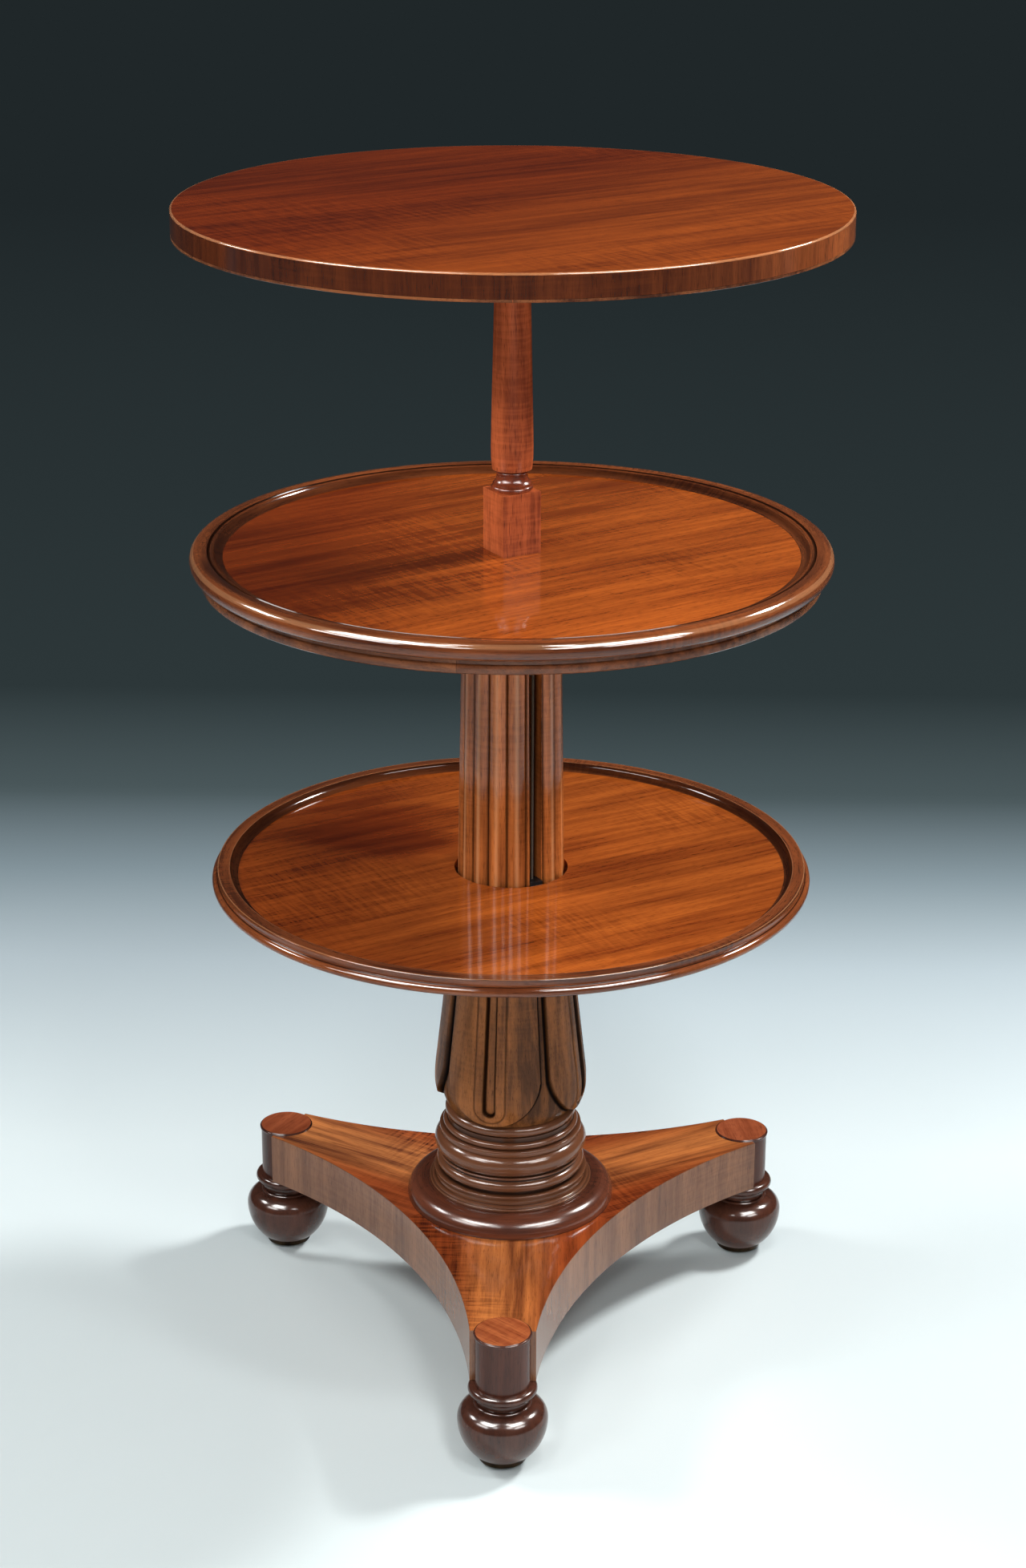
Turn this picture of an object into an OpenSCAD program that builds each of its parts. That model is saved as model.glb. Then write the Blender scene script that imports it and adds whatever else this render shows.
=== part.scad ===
// Three-tier telescopic table on a triform platform, shown raised.
// Millimetres, +Z up. The origin lies on the floor, on the column's axis.
// The front foot points to -Y.

/* [Travel] */
// Lift of each of the two sliding stages
travel = 285; // [255:1:310]
// Gap left between the lower rim and the middle tier when closed
lower_closed_gap = 0.7; // [0.4:0.1:4]
// Gap left between the middle rim and the top when closed
upper_closed_gap = 6.5; // [4:0.5:14]

/* [Top tier] */
// Diameter of the top
top_d = 610; // [560:2:680]
// Thickness of the top board
top_board_t = 18; // [15:0.5:24]
// Thickness of the crossbanded edge
edge_band_t = 2; // [1.5:0.5:4]
// Height of the lipping under the top's edge
lipping_h = 6; // [5:0.5:10]
// Width of the lipping, measured inwards
lipping_w = 42; // [30:1:60]
// How far the crossbanding laps down over the lipping
band_lap = 3.5; // [2:0.5:4.5]
// Number of segments in each built-up ring
ring_segments = 7; // [5:1:9]

/* [Middle tier] */
// Diameter over the nose of the middle rim
mid_d = 597; // [580:1:620]
// Width of the middle rim, from the floor's edge to the nose
mid_rim_w = 31.5; // [28:0.5:36]
// Thickness of the middle board
mid_board_t = 20; // [18:0.5:24]
// Height of the rim's ridge above the middle floor
mid_rim_rise = 7; // [5:0.5:10]
// Drop of the lower ring below the middle board
mid_ring_drop = 4.1; // [3:0.1:6]
// Thickness of the boss under the middle board
mid_boss_t = 8.5; // [6:0.5:10]
// Diameter of the boss under the middle board
mid_boss_d = 220; // [190:2:260]

/* [Lower tier] */
// Diameter over the bead of the lower rim
low_d = 574.5; // [556:0.5:590]
// Width of the lower rim, from the floor's edge to the bead
low_rim_w = 25.5; // [22:0.5:30]
// Thickness of the lower board
low_board_t = 13; // [12:0.5:18]
// Height of the rim above the lower floor
low_rim_rise = 7.7; // [6:0.1:10]
// Diameter of the hole that the reeded column passes through
low_hole_d = 109.4; // [108:0.2:114]
// Diameter of the turned bearer under the lower board
low_bearer_d = 190; // [170:2:230]
// Thickness of the turned bearer under the lower board
low_bearer_t = 20; // [16:1:26]

/* [Reeded column] */
// Diameter over the reeds at the top
reeded_top_d = 93.2; // [92:0.2:96]
// Diameter over the reeds at the foot
reeded_foot_d = 106.4; // [104:0.2:107.2]
// Radius of one reed
reed_r = 10; // [9.6:0.1:10.6]
// Width of the two lifting slots
slot_w = 13; // [12:0.5:14]
// Height of the solid foot below the slots
slot_foot_h = 25; // [18:1:32]
// Direction of the first slot
slot_angle = -60; // [-64:1:-56]
// Depth of the column's tenon above the boss
tenon_h = 22; // [20:0.5:23]
// Diameter of the column's tenon
tenon_d = 88; // [87:0.5:91]

/* [Slender shaft] */
// Side of the square part of the shaft
shaft_side = 39.2; // [37.5:0.1:39.5]
// Height of the square block above the middle floor
block_h = 58.5; // [48:0.5:70]
// Diameter of the round shaft under the top
shaft_top_d = 31; // [28:0.5:36]
// Diameter of the bearer under the top
top_bearer_d = 160; // [130:2:200]
// Thickness of the bearer under the top
top_bearer_t = 11; // [9:0.5:12]

/* [Vase column] */
// Height from the platform to the underside of the lower board
column_h = 340; // [335:1:380]
// Diameter of the vase at its neck
vase_neck_d = 127.6; // [126:0.2:134]
// How far the belly stands out beyond the neck, on the radius
vase_swell = 11.3; // [9:0.1:13]
// Height of the belly above the column's seat
vase_belly_h = 110.5; // [108:0.5:114]
// Number of carved lobes
lobes = 4; // [4:1:5]
// Share of each lobe's turn that its tongue fills
tongue_share = 0.92; // [0.88:0.01:0.96]
// Depth of the ground between the tongues
ground_depth = 5.5; // [3:0.5:5.5]
// Width of the flute down the middle of each tongue
flute_w = 12.6; // [10:0.2:15]
// Depth of the flute
flute_depth = 3.8; // [2:0.2:4]
// Height of the cushion moulding on the platform
cushion_h = 18.5; // [16:0.5:22]
// Diameter of the cushion moulding
cushion_d = 205; // [198:1:212]

/* [Platform and feet] */
// Radius from the axis to the centre of each foot
foot_circle_r = 275; // [265:1:290]
// Thickness of the platform
platform_t = 53; // [48:1:60]
// Half the width of each arm at its end
arm_half_w = 31; // [30:0.5:33]
// Smallest radius of the concave sides
waist_r = 116; // [112:1:126]
// Diameter of the corner posts
post_d = 51.8; // [50:0.2:54]
// Diameter of the lip on top of each corner post
post_lip_d = 54.5; // [54.3:0.1:57]
// Height of a turned foot, from its underside to the platform
foot_h = 75; // [72:1:82]
// Diameter of the bun
bun_d = 85.2; // [82:0.2:90]
// Gap between the bun and the floor
foot_gap = 7; // [5:0.5:8]

/* [Casters] */
// Diameter of the caster wheels
wheel_d = 26; // [24:0.5:26.5]
// Width of the caster wheels
wheel_w = 10; // [8:0.5:11]
// Offset of the wheel's axle from the swivel's axis
caster_trail = 3.5; // [2.5:0.1:3.8]

/* [Hidden] */
$fn = 96;
fit = 0.1;
sliding_gap = 0.4;
running_gap = 0.05;
kerf_w = 0.25;
screw_r = 1.9;
screw_head_r = 3.8;
screw_head_h = 2.2;
screw_bite = 7;

// Heights, from the floor up
platform_z = foot_gap + foot_h;
platform_top = platform_z + platform_t;
seat_z = platform_top + cushion_h;
low_board_z = platform_top + column_h;
low_floor_z = low_board_z + low_board_t;
low_rim_z = low_floor_z + low_rim_rise;
low_bearer_z = low_board_z - low_bearer_t;
mid_floor_d = mid_d - 2 * mid_rim_w;
low_floor_d = low_d - 2 * low_rim_w;
mid_ring_z = low_rim_z + lower_closed_gap + travel;
mid_board_z = mid_ring_z + mid_ring_drop;
mid_floor_z = mid_board_z + mid_board_t;
mid_ridge_z = mid_floor_z + mid_rim_rise;
mid_boss_z = mid_board_z - mid_boss_t;
lipping_z = mid_ridge_z + upper_closed_gap + travel;
top_board_z = lipping_z + lipping_h;
top_z = top_board_z + top_board_t;
top_bearer_z = top_board_z - top_bearer_t;

// The reeded column and what slides in it
reeded_foot_z = platform_z + 8 + travel;
reeded_h = mid_boss_z - reeded_foot_z;
reeded_foot_r = reeded_foot_d / 2;
reeded_top_r = reeded_top_d / 2;
taper = (reeded_foot_r - reeded_top_r) / reeded_h;
lean = atan(taper);
tenon_top_z = mid_boss_z + tenon_h;
slot_foot_z = reeded_foot_z + slot_foot_h;
square_bore = shaft_side + 2 * sliding_gap;
column_bore_r = reeded_foot_r + 1.1;
collar_h = 16;
collar_z = low_board_z - collar_h;
collar_in_r = reeded_foot_r - taper * (low_board_z - reeded_foot_z) + 0.6;
collar_out_r = column_bore_r + 3.6;

// The cord, its pulleys and its anchors
cord_r = 1.25;
pulley_groove_r = 7.5;
pulley_flange_r = 9.5;
pulley_hub_r = 4.5;
pulley_w = 6;
axle_r = 2;
axle_l = 30;
cord_turn_r = pulley_groove_r + cord_r;
pulley_at_r = shaft_side / 2 + 3.1 + cord_r + cord_turn_r;
pulley_z = tenon_top_z - pulley_flange_r - 1;
key_w = slot_w - 0.6;
key_in_r = pulley_at_r + cord_turn_r - 2.75;
key_top_z = low_floor_z + 2;
foot_plate_t = 6;
shaft_foot_z = slot_foot_z + travel + foot_plate_t + 4;
lug_w = slot_w - 3;
lug_r = pulley_at_r - cord_turn_r + cord_r + 3;

// Friction springs at the foot of the reeded column
spring_w = 12;
spring_t = 1;
spring_half_l = 29;
spring_rise = 3.3;
spring_crest_r = sqrt((column_bore_r - 0.15) * (column_bore_r - 0.15) - spring_w * spring_w / 4);
spring_arc_r = (spring_half_l * spring_half_l + spring_rise * spring_rise) / (2 * spring_rise);
spring_mid_z = reeded_foot_z + 37;
spring_seat_r = spring_crest_r - spring_rise - spring_t - 0.2;
spring_screw_dz = spring_half_l - 4;
spring_head_r = 2.4;
spring_head_dz = spring_screw_dz - spring_head_r;
spring_head_at = spring_crest_r - spring_arc_r + sqrt(spring_arc_r * spring_arc_r - spring_head_dz * spring_head_dz);

// The vase column
vase_neck_r = vase_neck_d / 2;
vase_belly_r = vase_neck_r + vase_swell;
vase_belly_z = seat_z + vase_belly_h;
vase_slope = 6.56;
vase_round_h = 16;
vase_round_in = 0.92;
vase_neck_z = vase_belly_z + vase_round_h + (vase_swell - vase_round_in) / tan(vase_slope);
vase_foot_h = 27;
vase_foot_z = vase_belly_z - vase_foot_h;
vase_foot_in = 7;
vase_foot_arc_r = (vase_foot_h * vase_foot_h + vase_foot_in * vase_foot_in) / (2 * vase_foot_in);
vase_top_z = low_bearer_z - 2;
lobe_shift = 6;
tongue_half_angle = 180 / lobes * tongue_share;
tongue_tip_z = vase_foot_z + 2.2;
tongue_arc_r = 47.3;
flute_tip_z = tongue_tip_z + 13;
line_w = 1.2;
line_gap = 9.5;

// The platform's concave sides
arm_end_r = foot_circle_r - 3;
corner_u = arm_end_r * cos(60) + arm_half_w * sin(60);
corner_v = arm_end_r * sin(60) - arm_half_w * cos(60);
side_u = (corner_u * corner_u + corner_v * corner_v - waist_r * waist_r) / (2 * (corner_u - waist_r));
post_r = post_d / 2;
post_lip_r = post_lip_d / 2;
post_lip_h = 4;
post_proud = 1.5;
dowel_r = 12;
dowel_h = 40;

// Casters
cup_r = 19.6;
cup_wall = 1.4;
cup_h = 33;
cup_plate_t = 2.5;
cup_flange_r = 22.4;
cup_flange_t = foot_gap - 3;
pivot_r = 3;
pivot_head_r = 5;
pivot_head_h = 2.4;
crown_r = 9;
crown_t = 2.8;
cheek_t = 1.8;
cheek_gap = 0.5;
cheek_l = 12;
caster_axle_r = 1.8;
foot_angles = [-90, 30, 150];

wood = [0.50, 0.20, 0.09];
dark_wood = [0.30, 0.13, 0.08];
light_wood = [0.60, 0.27, 0.12];
brass = [0.72, 0.55, 0.28];
steel = [0.45, 0.46, 0.48];
cord_colour = [0.80, 0.76, 0.66];

// A plain turned ring with a bore
module ring(r_out, r_in, z, h) {
  translate([0, 0, z])
    difference() {
      cylinder(r = r_out, h = h);
      translate([0, 0, -1])
        cylinder(r = r_in, h = h + 2);
    }
}

// A wedge about +X, open to each side by half_angle
module wedge(half_angle, reach, z, h) {
  translate([0, 0, z])
    linear_extrude(h)
      polygon([
        [0, 0],
        [reach, -reach * tan(half_angle)],
        [reach, reach * tan(half_angle)]
      ]);
}

// Turns a flat outline, drawn as width and height, to face along +X
module facing_out(reach) {
  rotate([90, 0, 90])
    linear_extrude(reach)
      children();
}

// Repeats its children in both slot directions
module each_slot() {
  for (turn = [0, 180])
    rotate([0, 0, slot_angle + turn])
      children();
}

// Places its children at foot number i, with +X pointing away from the axis
module at_foot(i) {
  rotate([0, 0, foot_angles[i]])
    translate([foot_circle_r, 0, 0])
      children();
}

// A screw driven upwards, with its head's face at z
module screw_up(z, length) {
  translate([0, 0, z])
    cylinder(r1 = screw_head_r, r2 = screw_r, h = screw_head_h);
  translate([0, 0, z + screw_head_h])
    cylinder(r = screw_r, h = length - screw_head_h);
}

// The hole that such a screw leaves
module screw_hole(z, length) {
  translate([0, 0, z - 1])
    cylinder(r = screw_head_r + fit, h = 1);
  translate([0, 0, z])
    cylinder(r1 = screw_head_r + fit, r2 = screw_r + fit, h = screw_head_h);
  translate([0, 0, z + screw_head_h - 0.01])
    cylinder(r = screw_r + fit, h = length - screw_head_h + 0.5);
}

module on_circle(count, radius, start) {
  for (i = [0 : count - 1])
    rotate([0, 0, start + i * 360 / count])
      translate([radius, 0, 0])
        children();
}

// Saw kerfs that part a built-up ring into its segments
module kerfs(reach, z, h, start) {
  for (i = [0 : ring_segments - 1])
    rotate([0, 0, start + i * 360 / ring_segments])
      translate([0, -kerf_w / 2, z - 1])
        cube([reach, kerf_w, h + 2]);
}

// Triform slab with concave sides, notched for the posts and bored for the column
module platform() {
  color(dark_wood)
    difference() {
      translate([0, 0, platform_z])
        linear_extrude(platform_t)
          difference() {
            polygon([
              for (a = foot_angles)
                for (side = [-1, 1])
                  [arm_end_r * cos(a) - side * arm_half_w * sin(a),
                   arm_end_r * sin(a) + side * arm_half_w * cos(a)]
            ]);
            for (a = foot_angles)
              rotate(a + 60)
                translate([side_u, 0])
                  circle(r = side_u - waist_r, $fn = 360);
          }
      translate([0, 0, platform_z - 1])
        cylinder(r = vase_neck_r + fit, h = platform_t + 2);
      for (i = [0 : 2])
        at_foot(i) {
          translate([0, 0, platform_z - 1])
            cylinder(r = post_r + fit, h = platform_t + 2);
          translate([0, 0, platform_top + post_proud - post_lip_h - fit])
            cylinder(r = post_lip_r + fit, h = post_lip_h + 1);
        }
      on_circle(4, well_screw_r, 0)
        screw_hole(platform_z - well_cover_t, well_cover_t + screw_bite);
    }
}

// Round post let into the end of an arm, with a thin lip under its top face
module corner_post(i) {
  color(dark_wood)
    at_foot(i)
      difference() {
        union() {
          translate([0, 0, platform_z])
            cylinder(r = post_r, h = platform_t + post_proud - 1);
          translate([0, 0, platform_top + post_proud - post_lip_h])
            cylinder(r = post_lip_r, h = post_lip_h);
        }
        translate([0, 0, platform_z - 1])
          cylinder(r = dowel_r + fit, h = dowel_h + 2);
      }
}

// Half-profile of a bun foot: bun, shoulder bead, neck and collar ring
bun_r = bun_d / 2;
bun_mid_z = foot_gap + 39;
bun_top_arc_r = 16;
bun_foot_r = 23.2;
bun_low_arc_r = (39 * 39 + pow(bun_r - bun_foot_r, 2)) / (2 * (bun_r - bun_foot_r));
foot_ring_r = 32.6;
module foot_profile() {
  intersection() {
    translate([bun_r - bun_low_arc_r, bun_mid_z])
      circle(r = bun_low_arc_r, $fn = 180);
    translate([0, foot_gap])
      square([bun_r + 1, bun_mid_z - foot_gap]);
  }
  intersection() {
    translate([bun_r - bun_top_arc_r, bun_mid_z])
      circle(r = bun_top_arc_r);
    translate([0, bun_mid_z])
      square([bun_r + 1, bun_top_arc_r]);
  }
  translate([0, bun_mid_z])
    square([bun_r - bun_top_arc_r, bun_top_arc_r]);
  translate([25.3, bun_mid_z + bun_top_arc_r - 0.5])
    circle(r = 2);
  difference() {
    translate([0, bun_mid_z + bun_top_arc_r])
      square([28, platform_z - bun_mid_z - bun_top_arc_r]);
    translate([29.6, (platform_z - 9 + bun_mid_z + bun_top_arc_r) / 2 + 1])
      circle(r = 6);
    translate([25.6, bun_mid_z + bun_top_arc_r + 1])
      square([4, 3]);
  }
  translate([0, platform_z - 9])
    square([foot_ring_r - 4.5, 9]);
  translate([foot_ring_r - 4.5, platform_z - 4.5])
    circle(r = 4.5);
}

// Turned bun foot with its dowel, bored from below for the caster
module foot(i) {
  color(dark_wood)
    at_foot(i)
      difference() {
        union() {
          rotate_extrude()
            foot_profile();
          translate([0, 0, platform_z - 1])
            cylinder(r = dowel_r, h = dowel_h + 1);
        }
        translate([0, 0, foot_gap - 1])
          cylinder(r = cup_r + fit, h = cup_h + 1 + fit);
        translate([0, 0, foot_gap + cup_h])
          cylinder(r = pivot_head_r + 1, h = pivot_head_h + 2);
      }
}

// Turned cushion moulding that the column stands on
cushion_arc_r = 15.5;
module cushion_ring() {
  color(dark_wood)
    rotate_extrude()
      difference() {
        union() {
          translate([vase_neck_r + fit, platform_top])
            square([cushion_d / 2 - cushion_arc_r - vase_neck_r - fit, cushion_h]);
          intersection() {
            translate([cushion_d / 2 - cushion_arc_r, seat_z - cushion_arc_r])
              circle(r = cushion_arc_r);
            translate([cushion_d / 2 - cushion_arc_r, platform_top])
              square([cushion_arc_r + 1, cushion_h]);
          }
        }
      }
}

// Half-profile of the vase above its mouldings, drawn in by inset
module vase_profile(inset) {
  widest = vase_belly_r - inset;
  intersection() {
    translate([widest - vase_foot_arc_r, vase_belly_z])
      circle(r = vase_foot_arc_r, $fn = 180);
    translate([0, vase_foot_z])
      square([vase_belly_r, vase_foot_h]);
  }
  polygon([
    [0, vase_belly_z],
    [widest, vase_belly_z],
    [widest - vase_round_in * 0.27, vase_belly_z + vase_round_h / 2],
    [widest - vase_round_in, vase_belly_z + vase_round_h],
    [vase_neck_r - inset, vase_neck_z],
    [vase_neck_r - inset, vase_top_z],
    [0, vase_top_z]
  ]);
}

module vase_turned(inset) {
  translate([lobe_shift, 0, 0])
    rotate_extrude()
      vase_profile(inset + lobe_shift);
}

// Outline of an upright slot with a round foot
module tongue_outline(width, foot_z) {
  translate([0, foot_z + width / 2])
    circle(r = width / 2);
  translate([-width / 2, foot_z + width / 2])
    square([width, vase_top_z + 10 - foot_z - width / 2]);
}

// One carved tongue with its round tip, middle flute and incised border
module tongue() {
  difference() {
    intersection() {
      vase_turned(0);
      wedge(tongue_half_angle, 100, vase_foot_z, vase_top_z - vase_foot_z);
      facing_out(100)
        union() {
          translate([0, tongue_tip_z + tongue_arc_r])
            circle(r = tongue_arc_r, $fn = 180);
          translate([-vase_belly_r - 5, tongue_tip_z + tongue_arc_r * 0.7])
            square([2 * vase_belly_r + 10, vase_top_z]);
        }
    }
    difference() {
      facing_out(100)
        tongue_outline(flute_w, flute_tip_z);
      vase_turned(flute_depth);
    }
    difference() {
      facing_out(100)
        difference() {
          tongue_outline(flute_w + 2 * line_gap, flute_tip_z - line_gap + 2);
          tongue_outline(flute_w + 2 * line_gap - 2 * line_w, flute_tip_z - line_gap + 2 + line_w);
        }
      vase_turned(1);
    }
  }
}

// Half-profile of the base mouldings, from the seat to the foot of the vase
module base_mouldings() {
  r = vase_neck_r;
  translate([0, seat_z])
    square([r + 16.7, 2.7]);
  translate([0, seat_z])
    square([r + 14.2, 5.1]);
  difference() {
    translate([0, seat_z])
      square([r + 11.2, 11.7]);
    translate([r + 16.2, seat_z + 8.4])
      circle(r = 6.6);
  }
  translate([0, seat_z + 11.7])
    square([r + 12, 2.4]);
  translate([0, seat_z])
    square([r + 5.4, 33]);
  translate([r + 4, seat_z + 21.9])
    circle(r = 5.6);
  translate([0, seat_z + 30.2])
    square([r + 7.4, 1.8]);
  translate([r, seat_z + 43.7])
    circle(r = 11.5);
  translate([0, seat_z + 54.5])
    square([r + 6.4, 5.8]);
  translate([0, seat_z + 50])
    square([r - 0.8, 22.4]);
  translate([r - 0.6, seat_z + 63.7])
    circle(r = 3.6);
  translate([0, seat_z + 50])
    square([r - 3.8, vase_foot_z - seat_z - 50]);
  translate([r - 4.4, seat_z + 77.6])
    circle(r = 5.4);
}

// Fixed hollow column: tenon, turned mouldings and lobed vase
module vase_column() {
  color(wood)
    difference() {
      union() {
        translate([0, 0, platform_z + 1])
          cylinder(r = vase_neck_r, h = seat_z - platform_z - 1);
        rotate_extrude()
          base_mouldings();
        rotate_extrude()
          vase_profile(ground_depth);
        for (i = [0 : lobes - 1])
          rotate([0, 0, slot_angle + 180 / lobes + i * 360 / lobes])
            tongue();
        translate([0, 0, vase_top_z])
          cylinder(r = vase_neck_r, h = low_board_z - vase_top_z);
      }
      translate([0, 0, platform_z])
        cylinder(r = column_bore_r, h = column_h + platform_t + 1);
      translate([0, 0, collar_z])
        cylinder(r = collar_out_r + fit, h = collar_h + 1);
    }
}

// Turned bearer that joins the column's neck to the lower board
module lower_bearer() {
  color(wood)
    difference() {
      rotate_extrude()
        union() {
          translate([vase_neck_r + fit, low_bearer_z])
            square([low_bearer_d / 2 - vase_neck_r - fit - 12, low_bearer_t]);
          translate([vase_neck_r + fit, low_board_z - 8])
            square([low_bearer_d / 2 - vase_neck_r - fit, 8]);
          intersection() {
            translate([low_bearer_d / 2 - 12, low_board_z - 8])
              circle(r = 12);
            translate([low_bearer_d / 2 - 12, low_bearer_z])
              square([12, low_bearer_t]);
          }
        }
      on_circle(6, low_screw_r, 30)
        screw_hole(low_bearer_z, low_bearer_t + screw_bite);
    }
}
low_screw_r = vase_neck_r + 10;
module lower_bearer_screws() {
  color(brass)
    on_circle(6, low_screw_r, 30)
      screw_up(low_bearer_z, low_bearer_t + screw_bite);
}

// Round board of the lower tier
low_board_r = low_d / 2 - 14;
module lower_board() {
  color(light_wood)
    difference() {
      ring(low_board_r, low_hole_d / 2, low_board_z, low_board_t);
      on_circle(6, low_screw_r, 30)
        screw_hole(low_bearer_z, low_bearer_t + screw_bite);
    }
}

// Applied rim of the lower tier: cavetto, flat, fascia and bead
module lower_rim() {
  bead_r = 4.3;
  nose = low_d / 2;
  cove = low_rim_rise + 0.87;
  color(wood)
    rotate_extrude()
      union() {
        difference() {
          translate([low_floor_d / 2, low_floor_z])
            square([nose - 5 - low_floor_d / 2, low_rim_rise]);
          translate([low_floor_d / 2, low_floor_z + cove])
            circle(r = cove);
          translate([nose + 4.4, low_floor_z + 3.6])
            circle(r = 10.2);
        }
        translate([low_board_r + fit, low_floor_z - 8.3])
          square([nose - bead_r - low_board_r - fit, 8.4]);
        translate([nose - bead_r, low_floor_z - 4])
          circle(r = bead_r);
      }
}

// Collar in the column's mouth that steadies the reeded column
module guide_collar() {
  color(dark_wood)
    difference() {
      ring(collar_out_r, collar_in_r, collar_z, collar_h);
      each_slot()
        translate([collar_in_r - 3, -key_w / 2 - fit, collar_z - 1])
          cube([collar_out_r, key_w + 2 * fit, collar_h + 2]);
    }
}

// Iron keys that reach into the slots and hold the cords' fixed ends
module guide_keys() {
  color(steel)
    each_slot() {
      translate([key_in_r, -key_w / 2, collar_z])
        cube([collar_out_r - 0.4 - key_in_r, key_w, collar_h]);
      translate([key_in_r, -key_w / 2, collar_z])
        cube([collar_in_r - 1.4 - key_in_r, key_w, key_top_z - collar_z]);
    }
}

// Thin board that closes the column's well under the platform
well_cover_t = 6;
well_cover_r = vase_neck_r + 22;
well_screw_r = vase_neck_r + 12;
module well_cover() {
  color(wood)
    difference() {
      translate([0, 0, platform_z - well_cover_t])
        cylinder(r = well_cover_r, h = well_cover_t);
      on_circle(4, well_screw_r, 0)
        screw_hole(platform_z - well_cover_t, well_cover_t + screw_bite);
    }
}
module well_cover_screws() {
  color(brass)
    on_circle(4, well_screw_r, 0)
      screw_up(platform_z - well_cover_t, well_cover_t + screw_bite);
}

// Brass socket let into the bun
module caster_cup(i) {
  color(brass)
    at_foot(i)
      difference() {
        union() {
          translate([0, 0, foot_gap - cup_flange_t])
            cylinder(r = cup_flange_r, h = cup_flange_t);
          translate([0, 0, foot_gap - cup_flange_t])
            cylinder(r = cup_r, h = cup_h + cup_flange_t);
        }
        translate([0, 0, foot_gap - cup_flange_t - 1])
          cylinder(r = cup_r - cup_wall, h = cup_h + cup_flange_t + 1 - cup_plate_t);
        translate([0, 0, foot_gap])
          cylinder(r = pivot_r + running_gap, h = cup_h + 1);
      }
}

// Swivelling fork with its riveted pivot
module caster_fork(i) {
  crown_z = foot_gap + cup_h - cup_plate_t - 0.3 - crown_t;
  cheek_z = wheel_d / 2 - 5;
  color(brass)
    at_foot(i)
      difference() {
        union() {
          translate([0, 0, crown_z])
            cylinder(r = crown_r, h = crown_t);
          translate([0, 0, crown_z])
            cylinder(r = pivot_r, h = crown_t + 0.3 + cup_plate_t + 1);
          translate([0, 0, foot_gap + cup_h + 0.3])
            cylinder(r = pivot_head_r, h = pivot_head_h);
          for (side = [-1, 1])
            translate([-caster_trail - cheek_l / 2, side * (wheel_w / 2 + cheek_gap + cheek_t / 2) - cheek_t / 2, cheek_z])
              cube([cheek_l, cheek_t, crown_z - cheek_z + 0.5]);
        }
        translate([-caster_trail, 20, wheel_d / 2])
          rotate([90, 0, 0])
            cylinder(r = caster_axle_r + fit / 2, h = 40);
      }
}
module caster_axle(i) {
  length = wheel_w + 2 * (cheek_gap + cheek_t) + 0.6;
  color(steel)
    at_foot(i)
      translate([-caster_trail, length / 2, wheel_d / 2])
        rotate([90, 0, 0])
          cylinder(r = caster_axle_r, h = length);
}
module caster_wheel(i) {
  color(brass)
    at_foot(i)
      translate([-caster_trail, wheel_w / 2, wheel_d / 2])
        rotate([90, 0, 0])
          difference() {
            cylinder(r = wheel_d / 2, h = wheel_w);
            translate([0, 0, -1])
              cylinder(r = caster_axle_r + running_gap, h = wheel_w + 2);
          }
}

// Cord from each key up to its pulley
module cord_outer_run() {
  color(cord_colour)
    each_slot()
      translate([pulley_at_r + cord_turn_r, 0, key_top_z])
        cylinder(r = cord_r, h = pulley_z - key_top_z - fit);
}

// One reed, leaning with the column's taper
module reed() {
  translate([reeded_foot_r - reed_r, 0, reeded_foot_z])
    rotate([0, -lean, 0])
      translate([0, 0, -5])
        cylinder(r = reed_r, h = reeded_h + 12);
}

// Tapering reeded column with two lifting slots and a square bore
module reeded_column() {
  core_in = 5;
  color(wood)
    difference() {
      union() {
        intersection() {
          union() {
            translate([0, 0, reeded_foot_z])
              cylinder(r1 = reeded_foot_r - core_in, r2 = reeded_top_r - core_in, h = reeded_h);
            for (i = [0 : 15])
              rotate([0, 0, slot_angle + i * 22.5])
                reed();
          }
          translate([0, 0, reeded_foot_z])
            cylinder(r = reeded_foot_r + 10, h = reeded_h);
        }
        translate([0, 0, mid_boss_z - 1])
          cylinder(r = tenon_d / 2, h = tenon_h + 1);
      }
      rotate([0, 0, slot_angle])
        translate([-square_bore / 2, -square_bore / 2, reeded_foot_z - 1])
          cube([square_bore, square_bore, reeded_h + tenon_h + 2]);
      each_slot() {
        translate([square_bore / 2 - 1, -slot_w / 2, slot_foot_z])
          cube([60, slot_w, tenon_top_z - slot_foot_z + 1]);
        translate([pulley_at_r, axle_l / 2 + fit, pulley_z])
          rotate([90, 0, 0])
            cylinder(r = axle_r + fit / 2, h = axle_l + 2 * fit);
      }
      for (turn = [90, 270])
        rotate([0, 0, slot_angle + turn])
          translate([spring_seat_r, -spring_w / 2 - 0.5, spring_mid_z - spring_half_l - 1]) {
            cube([20, spring_w + 1, 2 * spring_half_l + 2]);
            translate([0, spring_w / 2 + 0.5, 5])
              rotate([0, -90, 0])
                cylinder(r = 1.2 + fit, h = 8.5);
          }
    }
}

// Flat boss that stiffens the middle board round the column's tenon
module middle_boss() {
  color(wood)
    difference() {
      ring(mid_boss_d / 2, tenon_d / 2 + fit, mid_boss_z, mid_boss_t);
      on_circle(6, mid_screw_r, 0)
        screw_hole(mid_boss_z, mid_boss_t + screw_bite);
    }
}
mid_screw_r = mid_boss_d / 2 - 20;
module middle_boss_screws() {
  color(brass)
    on_circle(6, mid_screw_r, 0)
      screw_up(mid_boss_z, mid_boss_t + screw_bite);
}

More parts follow.
